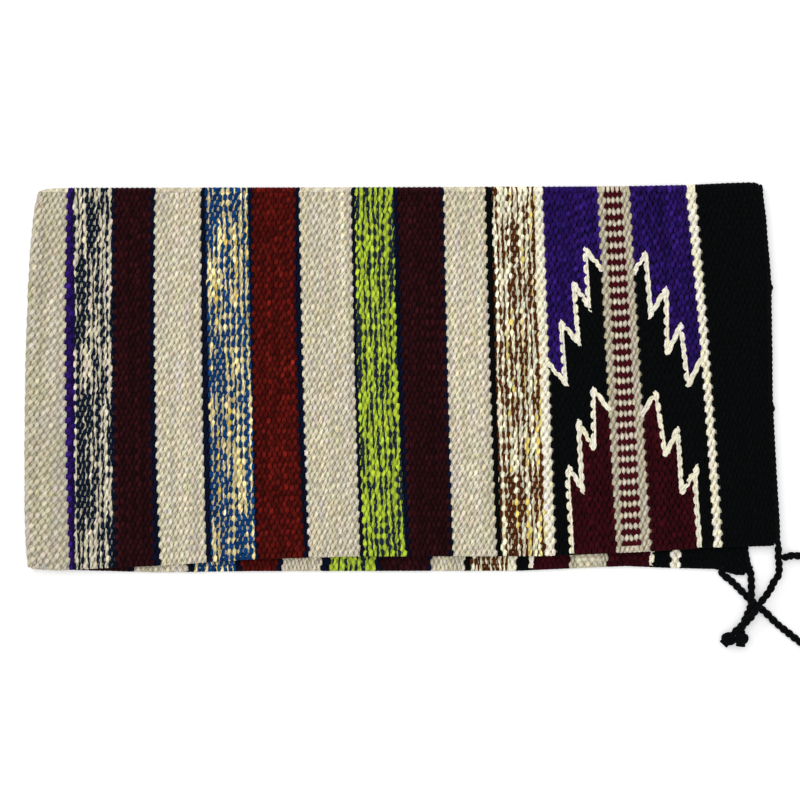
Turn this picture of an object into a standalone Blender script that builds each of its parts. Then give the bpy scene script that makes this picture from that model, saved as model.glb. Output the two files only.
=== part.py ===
"""Hand-woven wool saddle blanket, folded once and lying flat.

The blanket is one square cloth folded along its middle into a back layer, which lies on the
ground, and a front layer on top of it.  Every colour band of the weft is a piece of its own,
seated beside its neighbours.  The fold runs along X, the bands run along Y, Z is up, and the
middle of the folded blanket's underside is the origin.  Sizes are in metres.
"""

import math

import bmesh
import bpy
from mathutils import Vector

# Cloth
CLOTH_THICKNESS = 0.0065
LAYER_GAP = 0.0003
SEAM_GAP = 0.0003
RIM_ROUNDING = 0.0024
RIM_PROFILE_SHARE = 0.5
CORNER_RADIUS = 0.007
CUT_OVERRUN = 0.02

# How far the front layer reaches from the fold, and how much further the back one does
FRONT_DEPTH = 0.4562
BACK_LAP = 0.0029

# How far the free corners stand out beyond the fold's ends, and how far the sides bow
FRONT_LEFT_FLARE = 0.0121
BACK_LEFT_FLARE = 0.0121
LEFT_BOW = 0.0102
RIGHT_BOW = 0.0052
FOLD_BULGE = 0.0133

# Widths of the colour bands, measured along the fold
NATURAL_END_WIDTH = 0.0347
PURPLE_PIN_WIDTH = 0.0062
NAVY_MARL_WIDTH = 0.0486
MAROON_WIDTH = 0.0463
FIRST_NATURAL_WIDTH = 0.0554
BLUE_MARL_WIDTH = 0.0518
RUST_WIDTH = 0.0520
SECOND_NATURAL_WIDTH = 0.0629
LIME_MARL_WIDTH = 0.0459
SECOND_MAROON_WIDTH = 0.0557
THIRD_NATURAL_WIDTH = 0.0505
BROWN_MARL_WIDTH = 0.0525
LEFT_CREAM_WIDTH = 0.0093
LEFT_MOTIF_WIDTH = 0.0666
LEFT_BRAID_WIDTH = 0.0083
CHECKER_WIDTH = 0.0195
RIGHT_BRAID_WIDTH = 0.0111
RIGHT_MOTIF_WIDTH = 0.0686
RIGHT_CREAM_WIDTH = 0.0114
BLACK_END_WIDTH = 0.0756
NAVY_PIN_WIDTH = 0.0051
BLACK_PIN_WIDTH = 0.0076

# Outline yarns of the stepped motif
OUTLINE_WIDTH = 0.0066
OUTLINE_MITRE_LIMIT_SHARE = 2.2

# Twined cords
EDGE_CORD_DIAMETER = 0.0062
TIE_CORD_DIAMETER = 0.0074
CORD_GAP = 0.0003
FRONT_KNOT_RADIUS = 0.0070
BACK_KNOT_RADIUS = 0.0066
CORD_POINT_SPACING = 0.0042

# Each band: its name, its width along the fold and its colour
FRONT_BANDS = [
    ("natural_end_band", NATURAL_END_WIDTH, "natural"),
    ("purple_pin_stripe", PURPLE_PIN_WIDTH, "purple"),
    ("navy_cream_marl_band", NAVY_MARL_WIDTH, "navy_marl"),
    ("maroon_band_1", MAROON_WIDTH, "maroon"),
    ("navy_pin_stripe_1", NAVY_PIN_WIDTH, "navy"),
    ("natural_band_1", FIRST_NATURAL_WIDTH, "natural"),
    ("navy_pin_stripe_2", NAVY_PIN_WIDTH, "navy"),
    ("blue_cream_marl_band", BLUE_MARL_WIDTH, "blue_marl"),
    ("navy_pin_stripe_3", NAVY_PIN_WIDTH, "navy"),
    ("rust_band", RUST_WIDTH, "rust"),
    ("navy_pin_stripe_4", NAVY_PIN_WIDTH, "navy"),
    ("natural_band_2", SECOND_NATURAL_WIDTH, "natural"),
    ("navy_pin_stripe_5", NAVY_PIN_WIDTH, "navy"),
    ("lime_navy_marl_band", LIME_MARL_WIDTH, "lime_marl"),
    ("navy_pin_stripe_6", NAVY_PIN_WIDTH, "navy"),
    ("maroon_band_2", SECOND_MAROON_WIDTH, "maroon"),
    ("natural_band_3", THIRD_NATURAL_WIDTH, "natural"),
    ("black_pin_stripe", BLACK_PIN_WIDTH, "black"),
    ("brown_cream_marl_band", BROWN_MARL_WIDTH, "brown_marl"),
    ("left_cream_line", LEFT_CREAM_WIDTH, "cream"),
    ("left_motif", LEFT_MOTIF_WIDTH, None),
    ("left_braid_stripe", LEFT_BRAID_WIDTH, "beige"),
    ("maroon_cream_checker_stripe", CHECKER_WIDTH, "checker"),
    ("right_braid_stripe", RIGHT_BRAID_WIDTH, "beige"),
    ("right_motif", RIGHT_MOTIF_WIDTH, None),
    ("right_cream_line", RIGHT_CREAM_WIDTH, "cream"),
    ("black_end_band", BLACK_END_WIDTH, "black"),
]
# The width of each front band at its free edge, as a share of its width at the fold
FRONT_FREE_WIDTH_SHARES = [
    1.43, 0.78, 1.00, 1.045, 1.59, 1.01, 1.09, 1.04, 0.59, 1.09, 1.07, 0.98, 1.00, 1.11,
    0.95, 0.925, 1.05, 0.73, 1.03, 1.21, 1.126, 0.96, 1.055, 1.19, 1.11, 0.91, 0.84,
]
BACK_BANDS = [
    ("natural_end_band", NATURAL_END_WIDTH, "natural"),
    ("navy_cream_marl_band", PURPLE_PIN_WIDTH + NAVY_MARL_WIDTH, "navy_marl"),
    ("maroon_band_1", MAROON_WIDTH + NAVY_PIN_WIDTH, "maroon"),
    ("natural_band_1", FIRST_NATURAL_WIDTH, "natural"),
    ("blue_cream_marl_band", NAVY_PIN_WIDTH + BLUE_MARL_WIDTH, "blue_marl"),
    ("rust_band", NAVY_PIN_WIDTH + RUST_WIDTH + NAVY_PIN_WIDTH, "rust"),
    ("natural_band_2", SECOND_NATURAL_WIDTH, "natural"),
    ("lime_navy_marl_band", NAVY_PIN_WIDTH + LIME_MARL_WIDTH + NAVY_PIN_WIDTH, "lime_marl"),
    ("maroon_band_2", SECOND_MAROON_WIDTH, "maroon"),
    ("natural_band_3", THIRD_NATURAL_WIDTH, "natural"),
    ("brown_cream_marl_band", BLACK_PIN_WIDTH + BROWN_MARL_WIDTH, "brown_marl"),
    (
        "stepped_motif_field",
        LEFT_CREAM_WIDTH
        + LEFT_MOTIF_WIDTH
        + LEFT_BRAID_WIDTH
        + CHECKER_WIDTH
        + RIGHT_BRAID_WIDTH
        + RIGHT_MOTIF_WIDTH
        + RIGHT_CREAM_WIDTH,
        "dark_maroon",
    ),
    ("black_end_band", BLACK_END_WIDTH, "black"),
]
BACK_FREE_WIDTH_SHARES = [
    1.046, 0.64, 1.06, 1.18, 1.03, 0.91, 0.76, 1.28, 1.105, 0.80, 0.885, 1.068, 1.078,
]

# Along each layer (0 at the fold, 1 at the free edge), shares of the bow of its sides
LEFT_BOW_SHARES = [
    (0, 0), (0.03, 0.36), (0.10, 0.65), (0.17, 0.83), (0.25, 0.90), (0.33, 0.94),
    (0.44, 1.0), (0.55, 0.93), (0.70, 0.80), (0.85, 0.60), (0.95, 0.30), (1, 0), (1.2, 0),
]
RIGHT_BOW_SHARES = [
    (0, 0), (0.06, 0.44), (0.14, 0.67), (0.24, 1.0), (0.31, 0.74), (0.43, 0.42),
    (0.55, 0.0), (0.79, 0.14), (0.86, 0.28), (1, 0.1), (1.2, 0.1),
]
# Across each layer (0 at the left side, 1 at the right), shares of its full depth
FRONT_EDGE_SHARES = [
    (0, 0.996), (0.04, 1.0), (0.12, 0.992), (0.17, 0.988), (0.235, 0.979), (0.295, 0.971),
    (0.43, 0.963), (0.69, 0.962), (0.83, 0.950), (0.92, 0.939), (1, 0.935),
]
BACK_EDGE_SHARES = [
    (0, 0.991), (0.11, 0.996), (0.18, 1.0), (0.31, 0.9965), (0.68, 0.9955), (0.83, 0.983),
    (0.89, 0.988), (1, 0.997),
]
# Across the fold, how far it bulges beyond its axis as shares of the full bulge
FOLD_BULGE_SHARES = [
    (0, 0.20), (0.006, 0.38), (0.02, 0.47), (0.20, 0.49), (0.50, 0.53), (0.80, 0.60),
    (0.90, 0.72), (0.95, 0.86), (0.98, 0.90), (0.99, 0.80), (1, 0.52),
]
FOLD_STEPS = 8

# The zigzags of the motif as (share across its panel, share down the front layer)
LEFT_UPPER_ZIGZAG_SHARES = [
    (1.30, 0.260), (1.00, 0.204), (0.72, 0.149), (0.74, 0.305), (0.49, 0.239),
    (0.53, 0.400), (0.24, 0.342), (0.275, 0.505), (0.00, 0.454), (-0.30, 0.400),
]
LEFT_LOWER_ZIGZAG_SHARES = [
    (1.30, 0.640), (1.00, 0.577), (0.745, 0.520), (0.71, 0.683), (0.47, 0.606),
    (0.485, 0.790), (0.275, 0.727), (0.25, 0.765), (0.264, 0.840), (0.283, 1.080),
]
RIGHT_UPPER_ZIGZAG_SHARES = [
    (-0.30, 0.275), (0.00, 0.211), (0.21, 0.160), (0.235, 0.325), (0.53, 0.253),
    (0.465, 0.430), (0.735, 0.350), (0.78, 0.515), (1.00, 0.451), (1.30, 0.375),
]
RIGHT_LOWER_ZIGZAG_SHARES = [
    (-0.30, 0.660), (0.00, 0.587), (0.236, 0.529), (0.33, 0.700), (0.56, 0.6255),
    (0.555, 0.800), (0.84, 0.725), (0.785, 0.765), (0.78, 0.840), (0.788, 1.080),
]

# Routes of the tie cords: (right, towards the fold, above the ground) from their corner
FRONT_TIE_ROUTE = [
    (0.0000, -0.0006, 0.0101), (0.0000, -0.0073, 0.0100), (0.0001, -0.0151, 0.0098),
    (0.0010, -0.0278, 0.0096), (-0.0001, -0.0368, 0.0098), (-0.0057, -0.0454, 0.0105),
    (-0.0120, -0.0572, 0.0118), (-0.0196, -0.0670, 0.0132), (-0.0263, -0.0756, 0.0148),
    (-0.0335, -0.0864, 0.0152), (-0.0414, -0.0946, 0.0140), (-0.0488, -0.1016, 0.0120),
    (-0.0529, -0.1060, 0.0104), (-0.0557, -0.1090, 0.0100),
]
FRONT_SIDE_TIE_ROUTE = [
    (0.0044, -0.0147, 0.0098), (0.0085, -0.0151, 0.0095), (0.0173, -0.0136, 0.0078),
    (0.0258, -0.0140, 0.0058), (0.0379, -0.0165, 0.0044), (0.0524, -0.0218, 0.0040),
    (0.0693, -0.0290, 0.0040), (0.0839, -0.0346, 0.0040), (0.0984, -0.0387, 0.0040),
]
BACK_EDGE_TIE_ROUTE = [
    (-0.0347, 0.0004, 0.0040), (-0.0346, -0.0030, 0.0040), (-0.0321, -0.0066, 0.0040),
    (-0.0254, -0.0112, 0.0040), (-0.0183, -0.0177, 0.0040), (-0.0097, -0.0264, 0.0040),
    (-0.0012, -0.0348, 0.0040), (0.0073, -0.0424, 0.0040), (0.0182, -0.0512, 0.0040),
    (0.0312, -0.0640, 0.0040), (0.0442, -0.0748, 0.0040), (0.0581, -0.0855, 0.0040),
    (0.0690, -0.0929, 0.0040), (0.0744, -0.0960, 0.0040),
]
BACK_CORNER_TIE_ROUTE = [
    (0.0000, -0.0010, 0.0041), (0.0006, -0.0064, 0.0043), (0.0010, -0.0143, 0.0060),
    (0.0004, -0.0258, 0.0095), (0.0000, -0.0355, 0.0121), (-0.0008, -0.0427, 0.0117),
    (-0.0024, -0.0494, 0.0090), (-0.0053, -0.0572, 0.0052), (-0.0087, -0.0657, 0.0040),
    (-0.0105, -0.0718, 0.0040), (-0.0111, -0.0766, 0.0040),
]

# Colour, roughness of each yarn
YARNS = {
    "natural": ((0.58, 0.51, 0.38, 1), 0.92),
    "cream": ((0.80, 0.74, 0.58, 1), 0.90),
    "beige": ((0.56, 0.45, 0.30, 1), 0.92),
    "navy": ((0.010, 0.017, 0.045, 1), 0.90),
    "black": ((0.004, 0.005, 0.007, 1), 0.90),
    "purple": ((0.035, 0.012, 0.13, 1), 0.90),
    "maroon": ((0.035, 0.008, 0.012, 1), 0.90),
    "dark_maroon": ((0.045, 0.006, 0.014, 1), 0.90),
    "rust": ((0.13, 0.016, 0.008, 1), 0.90),
    "navy_marl": ((0.16, 0.16, 0.15, 1), 0.92),
    "blue_marl": ((0.22, 0.28, 0.29, 1), 0.92),
    "lime_marl": ((0.26, 0.35, 0.06, 1), 0.92),
    "brown_marl": ((0.27, 0.17, 0.09, 1), 0.92),
    "checker": ((0.22, 0.13, 0.10, 1), 0.92),
}

HALF_SEAM = SEAM_GAP / 2
FOLD_RADIUS = CLOTH_THICKNESS + LAYER_GAP / 2
FRONT_UNDERSIDE = CLOTH_THICKNESS + LAYER_GAP
BACK_DEPTH = FRONT_DEPTH + BACK_LAP
FOLD_WIDTH = sum(width for _, width, _ in FRONT_BANDS)
EDGE_CORD_ALLOWANCE = EDGE_CORD_DIAMETER + CORD_GAP


def share_at(table, place):
    """Read a table of (place, share) rows, straight between its rows."""
    for (low, first), (high, second) in zip(table, table[1:]):
        if place <= high:
            part = max(0, (place - low) / (high - low))
            return first + (second - first) * part
    return table[-1][1]


class Layer:
    """One layer of the folded cloth, with the lines that its bands follow."""

    def __init__(self, name, bands, free_shares, depth, edge_shares, left_flare, right_bow, underside):
        self.name = name
        self.bands = bands
        self.depth = depth
        self.edge_shares = edge_shares
        self.right_bow = right_bow
        self.underside = underside
        self.fold_lines = [0]
        self.free_lines = [-left_flare]
        for (_, width, _), share in zip(bands, free_shares):
            self.fold_lines.append(self.fold_lines[-1] + width)
            self.free_lines.append(self.free_lines[-1] + width * share)

    def line(self, number, down):
        """X of a line between bands at a share of the depth from the fold."""
        start = self.fold_lines[number]
        return start + (self.free_lines[number] - start) * down

    def left(self, down):
        return self.line(0, down) - LEFT_BOW * share_at(LEFT_BOW_SHARES, down)

    def right(self, down):
        return self.line(-1, down) + self.right_bow * share_at(RIGHT_BOW_SHARES, down)

    def free_edge(self, across):
        """Share of the depth that the free edge reaches at a share across the layer."""
        return share_at(self.edge_shares, across)


FRONT = Layer(
    "front", FRONT_BANDS, FRONT_FREE_WIDTH_SHARES, FRONT_DEPTH, FRONT_EDGE_SHARES,
    FRONT_LEFT_FLARE, RIGHT_BOW, FRONT_UNDERSIDE,
)
BACK = Layer(
    "back", BACK_BANDS, BACK_FREE_WIDTH_SHARES, BACK_DEPTH, BACK_EDGE_SHARES,
    BACK_LEFT_FLARE, 0, 0,
)

# The middle of the folded blanket is the origin
LEFTMOST = min(FRONT.left(share) for share, _ in LEFT_BOW_SHARES)
RIGHTMOST = FRONT.right(FRONT.free_edge(1)) + EDGE_CORD_ALLOWANCE
MIDDLE_X = (LEFTMOST + RIGHTMOST) / 2
FOLD_REACH = FOLD_BULGE * max(share for _, share in FOLD_BULGE_SHARES)
BACK_REACH = BACK_DEPTH * max(share for _, share in BACK_EDGE_SHARES)
FOLD_Y = (BACK_REACH - FOLD_REACH) / 2


def place(layer, x, down):
    """World X and Y of a layer's X at a share of the depth from the fold."""
    return x - MIDDLE_X, FOLD_Y - layer.depth * down


def clear_scene():
    for item in list(bpy.data.objects):
        bpy.data.objects.remove(item, do_unlink=True)


def new_collection(name):
    group = bpy.data.collections.new(name)
    bpy.context.scene.collection.children.link(group)
    return group


def yarn(name):
    """The wool of one colour."""
    found = bpy.data.materials.get(name)
    if found:
        return found
    colour, roughness = YARNS[name]
    made = bpy.data.materials.new(name)
    made.use_nodes = True
    made.diffuse_color = colour
    shader = made.node_tree.nodes["Principled BSDF"]
    shader.inputs["Base Color"].default_value = colour
    shader.inputs["Roughness"].default_value = roughness
    shader.inputs["Metallic"].default_value = 0
    return made


def prism(name, outline, bottom, height, group):
    """A flat outline given thickness, as a mesh."""
    curve = bpy.data.curves.new(name, "CURVE")
    curve.dimensions = "2D"
    curve.fill_mode = "BOTH"
    curve.extrude = height / 2
    spline = curve.splines.new("POLY")
    spline.points.add(len(outline) - 1)
    for point, (x, y) in zip(spline.points, outline):
        point.co = (x, y, 0, 1)
    spline.use_cyclic_u = True
    flat = bpy.data.objects.new(name, curve)
    bpy.context.scene.collection.objects.link(flat)
    bpy.context.view_layer.update()
    mesh = bpy.data.meshes.new_from_object(flat.evaluated_get(bpy.context.evaluated_depsgraph_get()))
    bpy.data.objects.remove(flat, do_unlink=True)
    body = bmesh.new()
    body.from_mesh(mesh)
    bmesh.ops.remove_doubles(body, verts=body.verts, dist=SEAM_GAP / 10)
    flat_limit = math.radians(0.05)
    bmesh.ops.dissolve_limit(body, angle_limit=flat_limit, verts=body.verts, edges=body.edges)
    bmesh.ops.recalc_face_normals(body, faces=body.faces)
    bmesh.ops.translate(body, verts=body.verts, vec=(0, 0, bottom + height / 2))
    body.to_mesh(mesh)
    body.free()
    made = bpy.data.objects.new(name, mesh)
    group.objects.link(made)
    return made


def rounded_corner(before, corner, after, radius, steps=4):
    """Points of a round corner between two straight runs."""
    corner = Vector(corner)
    back = (Vector(before) - corner).normalized()
    ahead = (Vector(after) - corner).normalized()
    half = back.angle(ahead) / 2
    reach = radius / math.tan(half)
    centre = corner + (back + ahead).normalized() * radius / math.sin(half)
    start = corner + back * reach - centre
    turn = start.angle_signed(corner + ahead * reach - centre)
    points = []
    for step in range(steps + 1):
        angle = -turn * step / steps
        arm = Vector((
            start.x * math.cos(angle) - start.y * math.sin(angle),
            start.x * math.sin(angle) + start.y * math.cos(angle),
        ))
        points.append(tuple(centre + arm))
    return points


def layer_outline(layer):
    """The outline of a layer's cloth, from the fold's left end round to its right end."""
    left = [
        place(layer, layer.left(down), down)
        for down, _ in LEFT_BOW_SHARES
        if down < 0.95
    ]
    ends = [layer.free_edge(0), layer.free_edge(1)]
    free = []
    for across, reach in layer.edge_shares:
        x = layer.left(ends[0]) * (1 - across) + layer.right(ends[1]) * across
        free.append(place(layer, x, reach))
    right = [
        place(layer, layer.right(down), down)
        for down, _ in reversed(RIGHT_BOW_SHARES)
        if down < 0.9
    ]
    first = rounded_corner(left[-1], free[0], free[1], CORNER_RADIUS)
    last = rounded_corner(free[-2], free[-1], right[0], CORNER_RADIUS)
    outline = left + first + free[1:-1] + last + right
    lip = FOLD_Y - HALF_SEAM
    return [(x, min(y, lip)) for x, y in outline]


def cloth_blank(layer, group):
    """The whole layer before it is parted into bands, with a soft rim on its free sides."""
    blank = prism(layer.name + "_cloth", layer_outline(layer), layer.underside, CLOTH_THICKNESS, group)
    body = bmesh.new()
    body.from_mesh(blank.data)
    lip = FOLD_Y - HALF_SEAM - SEAM_GAP / 2
    rim = []
    for edge in body.edges:
        first, second = edge.verts
        level = abs(first.co.z - second.co.z) < SEAM_GAP
        if level and min(first.co.y, second.co.y) < lip:
            rim.append(edge)
    bmesh.ops.bevel(
        body, geom=rim, offset=RIM_ROUNDING, offset_type="OFFSET", segments=3,
        profile=RIM_PROFILE_SHARE, affect="EDGES", clamp_overlap=True,
    )
    body.to_mesh(blank.data)
    body.free()
    return blank


def as_cutter(item):
    item.hide_render = True
    item.display_type = "WIRE"
    return item


def keep_inside(item, cutter):
    cut = item.modifiers.new(cutter.name, "BOOLEAN")
    cut.operation = "INTERSECT"
    cut.solver = "MANIFOLD"
    cut.object = cutter


def band_lines(layer, number):
    """World lines of a band's two sides, each from above the fold to below the free edge."""
    past = CUT_OVERRUN / layer.depth
    sides = []
    for side in (number, number + 1):
        outermost = side in (0, len(layer.bands))
        out = CUT_OVERRUN if outermost else 0
        inward = HALF_SEAM if side == number else -HALF_SEAM
        shift = (-out if side == 0 else out) + (0 if outermost else inward)
        sides.append([
            place(layer, layer.line(side, -past) + shift, -past),
            place(layer, layer.line(side, 1 + past) + shift, 1 + past),
        ])
    return sides


def band_cutter(layer, number, group):
    """The room of one band, reaching past the cloth above and below."""
    left, right = band_lines(layer, number)
    outline = [left[0], left[1], right[1], right[0]]
    name = layer.name + "_" + layer.bands[number][0] + "_room"
    height = CLOTH_THICKNESS + 2 * CUT_OVERRUN
    return as_cutter(prism(name, outline, layer.underside - CUT_OVERRUN, height, group))


def band_object(layer, blank, name, colour, cutters, group):
    """A piece of the cloth kept inside the given rooms."""
    item = bpy.data.objects.new(layer.name + "_" + name, blank.data.copy())
    item.data.materials.clear()
    item.data.materials.append(yarn(colour))
    group.objects.link(item)
    for cutter in cutters:
        keep_inside(item, cutter)
    return item


def offset_line(points, distance):
    """A line moved sideways to its left, with its sharp tips kept short."""
    points = [Vector(point) for point in points]
    moved = []
    for number, point in enumerate(points):
        ahead = points[min(number + 1, len(points) - 1)] - points[min(number, len(points) - 2)]
        behind = points[max(number, 1)] - points[max(number, 1) - 1]
        first = Vector((-behind.y, behind.x)).normalized()
        second = Vector((-ahead.y, ahead.x)).normalized()
        middle = (first + second).normalized()
        stretch = min(1 / max(middle.dot(first), 0.05), OUTLINE_MITRE_LIMIT_SHARE)
        moved.append(tuple(point + middle * distance * stretch))
    return moved


def zigzag(layer, number, shares):
    """World points of a zigzag that is given in shares of its panel."""
    points = []
    for across, down in shares:
        left = layer.line(number, down)
        right = layer.line(number + 1, down)
        points.append(place(layer, left + (right - left) * across, down))
    return points


def motif(layer, number, upper_shares, lower_shares, mirrored, blank, rooms, group):
    """The stepped motif of one panel: three colour fields parted by two cream outlines."""
    name = layer.bands[number][0]
    room = band_cutter(layer, number, rooms)
    upper = zigzag(layer, number, upper_shares)
    lower = zigzag(layer, number, lower_shares)
    up = -1 if mirrored else 1
    half = OUTLINE_WIDTH / 2
    above = [offset_line(line, -up * (half + HALF_SEAM)) for line in (upper, lower)]
    over = [offset_line(line, -up * (half - HALF_SEAM)) for line in (upper, lower)]
    under = [offset_line(line, up * (half - HALF_SEAM)) for line in (upper, lower)]
    below = [offset_line(line, up * (half + HALF_SEAM)) for line in (upper, lower)]
    top = FOLD_Y + CUT_OVERRUN
    bottom = min(y for _, y in upper + lower) - CUT_OVERRUN
    first_x, last_x = upper[0][0], upper[-1][0]
    inner_x = lower[0][0]
    outer_x = last_x
    fields = {
        "upper_field": (above[0] + [(last_x, top), (first_x, top)], "purple"),
        "upper_outline": (over[0] + under[0][::-1], "cream"),
        "middle_field": (
            below[0] + [(outer_x, bottom), (above[1][-1][0], bottom)] + above[1][::-1], "black",
        ),
        "lower_outline": (over[1] + under[1][::-1], "cream"),
        "lower_field": (below[1] + [(below[1][-1][0], bottom), (inner_x, bottom)], "dark_maroon"),
    }
    height = CLOTH_THICKNESS + 2 * CUT_OVERRUN
    for field, (outline, colour) in fields.items():
        label = name + "_" + field
        cutter = prism(layer.name + "_" + label + "_room", outline, layer.underside - CUT_OVERRUN, height, rooms)
        band_object(layer, blank, label, colour, [room, as_cutter(cutter)], group)


def weave_layer(layer, group, rooms):
    """All bands of one layer."""
    blank = as_cutter(cloth_blank(layer, rooms))
    for number, (name, _, colour) in enumerate(layer.bands):
        if name == "left_motif":
            motif(layer, number, LEFT_UPPER_ZIGZAG_SHARES, LEFT_LOWER_ZIGZAG_SHARES, False, blank, rooms, group)
        elif name == "right_motif":
            motif(layer, number, RIGHT_UPPER_ZIGZAG_SHARES, RIGHT_LOWER_ZIGZAG_SHARES, True, blank, rooms, group)
        else:
            band_object(layer, blank, name, colour, [band_cutter(layer, number, rooms)], group)


def fold_roll(group):
    """The half-round turn of the cloth beyond the hinge line, bulging more towards the right."""
    body = bmesh.new()
    width = FOLD_WIDTH + EDGE_CORD_ALLOWANCE
    rings = []
    for across, share in FOLD_BULGE_SHARES:
        ring = []
        for step in range(FOLD_STEPS + 1):
            angle = math.pi / 2 - math.pi * step / FOLD_STEPS
            y = FOLD_Y + HALF_SEAM + (FOLD_BULGE * share - HALF_SEAM) * math.cos(angle)
            z = FOLD_RADIUS + FOLD_RADIUS * math.sin(angle)
            ring.append(body.verts.new((width * across - MIDDLE_X, y, z)))
        rings.append(ring)
    for first, second in zip(rings, rings[1:]):
        for low, high in zip(range(FOLD_STEPS), range(1, FOLD_STEPS + 1)):
            body.faces.new((first[low], first[high], second[high], second[low]))
        body.faces.new((first[-1], first[0], second[0], second[-1]))
    body.faces.new(rings[0])
    body.faces.new(rings[-1])
    bmesh.ops.recalc_face_normals(body, faces=body.faces)
    mesh = bpy.data.meshes.new("fold_roll")
    body.to_mesh(mesh)
    body.free()
    mesh.shade_smooth()
    mesh.set_sharp_from_angle(angle=math.radians(50))
    mesh.materials.append(yarn("natural"))
    group.objects.link(bpy.data.objects.new("fold_roll", mesh))


def smooth_route(points, spacing):
    """Points at an even spacing on a smooth curve through a route's own points."""
    points = [Vector(point) for point in points]
    ends = [points[0] * 2 - points[1]] + points + [points[-1] * 2 - points[-2]]
    fine = []
    for a, b, c, d in zip(ends, ends[1:], ends[2:], ends[3:]):
        for step in range(24):
            t = step / 24
            fine.append((
                b * 2 + (c - a) * t + (a * 2 - b * 5 + c * 4 - d) * t ** 2
                + (b * 3 - a - c * 3 + d) * t ** 3
            ) / 2)
    fine.append(points[-1])
    lengths = [0]
    for a, b in zip(fine, fine[1:]):
        lengths.append(lengths[-1] + (b - a).length)
    count = max(2, round(lengths[-1] / spacing))
    even = []
    at = 0
    for step in range(count + 1):
        wanted = lengths[-1] * step / count
        while at < len(lengths) - 2 and lengths[at + 1] < wanted:
            at += 1
        part = (wanted - lengths[at]) / (lengths[at + 1] - lengths[at])
        even.append(fine[at].lerp(fine[at + 1], part))
    return even


def tube(name, points, diameter, colour, group):
    """A cord as a round tube with filled ends."""
    curve = bpy.data.curves.new(name, "CURVE")
    curve.dimensions = "3D"
    curve.bevel_depth = diameter / 2
    curve.bevel_resolution = 2
    curve.use_fill_caps = True
    spline = curve.splines.new("POLY")
    spline.points.add(len(points) - 1)
    for point, place_at in zip(spline.points, points):
        point.co = (*place_at, 1)
    curve.materials.append(yarn(colour))
    made = bpy.data.objects.new(name, curve)
    group.objects.link(made)
    return made


def edge_cord(layer, group):
    """The twined cord along the right side of one layer."""
    height = layer.underside + CLOTH_THICKNESS / 2
    reach = layer.free_edge(1)
    points = []
    for down in [0] + [share for share, _ in RIGHT_BOW_SHARES if 0 < share < 0.9] + [reach]:
        x, y = place(layer, layer.right(down) + EDGE_CORD_DIAMETER / 2 + CORD_GAP, down)
        points.append(Vector((x, min(y, FOLD_Y - 2 * CORD_GAP), height)))
    tube(layer.name + "_edge_cord", points, EDGE_CORD_DIAMETER, "black", group)
    return points[-1]


def knot(name, at, radius, group):
    """A tight knot at a cord's end, as a ball."""
    body = bmesh.new()
    bmesh.ops.create_uvsphere(body, u_segments=14, v_segments=9, radius=radius)
    bmesh.ops.translate(body, verts=body.verts, vec=at)
    mesh = bpy.data.meshes.new(name)
    body.to_mesh(mesh)
    body.free()
    mesh.shade_smooth()
    mesh.materials.append(yarn("black"))
    group.objects.link(bpy.data.objects.new(name, mesh))


def tie_cord(name, corner, route, knot_radius, group):
    """A free tie cord from a corner, with the knot at its end resting on the ground."""
    points = [Vector((corner.x + x, corner.y + y, z)) for x, y, z in route]
    path = smooth_route(points, CORD_POINT_SPACING)
    tube(name, path, TIE_CORD_DIAMETER, "black", group)
    end = path[-1]
    ahead = end - path[-2]
    level = Vector((ahead.x, ahead.y, 0)).normalized()
    centre = end + level * (knot_radius + CORD_GAP)
    centre.z = knot_radius
    knot(name + "_knot", centre, knot_radius, group)
    return path


def hang_on_fold(group, layer):
    """Carry a layer and its cords by an empty on the line that the layer turns about."""
    hinge = bpy.data.objects.new(layer.name + "_layer", None)
    hinge.empty_display_type = "SINGLE_ARROW"
    hinge.location = (0, FOLD_Y, FOLD_RADIUS)
    pieces = [item for item in group.objects if item.name.startswith(layer.name)]
    group.objects.link(hinge)
    bpy.context.view_layer.update()
    for item in pieces:
        item.parent = hinge
        item.matrix_parent_inverse = hinge.matrix_world.inverted()


def build():
    clear_scene()
    group = new_collection("folded_saddle_blanket")
    rooms = new_collection("cutting_shapes")
    weave_layer(BACK, group, rooms)
    weave_layer(FRONT, group, rooms)
    fold_roll(group)
    front_corner = edge_cord(FRONT, group)
    back_corner = edge_cord(BACK, group)
    tie_cord("front_tie_cord", front_corner, FRONT_TIE_ROUTE, FRONT_KNOT_RADIUS, group)
    tie_cord("front_side_tie_cord", front_corner, FRONT_SIDE_TIE_ROUTE, BACK_KNOT_RADIUS, group)
    tie_cord("back_edge_tie_cord", back_corner, BACK_EDGE_TIE_ROUTE, BACK_KNOT_RADIUS, group)
    tie_cord("back_corner_tie_cord", back_corner, BACK_CORNER_TIE_ROUTE, BACK_KNOT_RADIUS, group)
    hang_on_fold(group, FRONT)
    return group


build()
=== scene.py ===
"""A hand-woven wool saddle blanket, folded once and lying flat, dressed for its photograph.

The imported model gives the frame.  Here every weft yarn of both layers is laid over and under the
warp, the stepped motif gets its two-yarn outlines, and the edge and tie cords are twisted from
two strands.  Sizes are in metres, X runs along the fold and Z is up.
"""

import logging
import math
from dataclasses import dataclass, field
from enum import Enum

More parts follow.
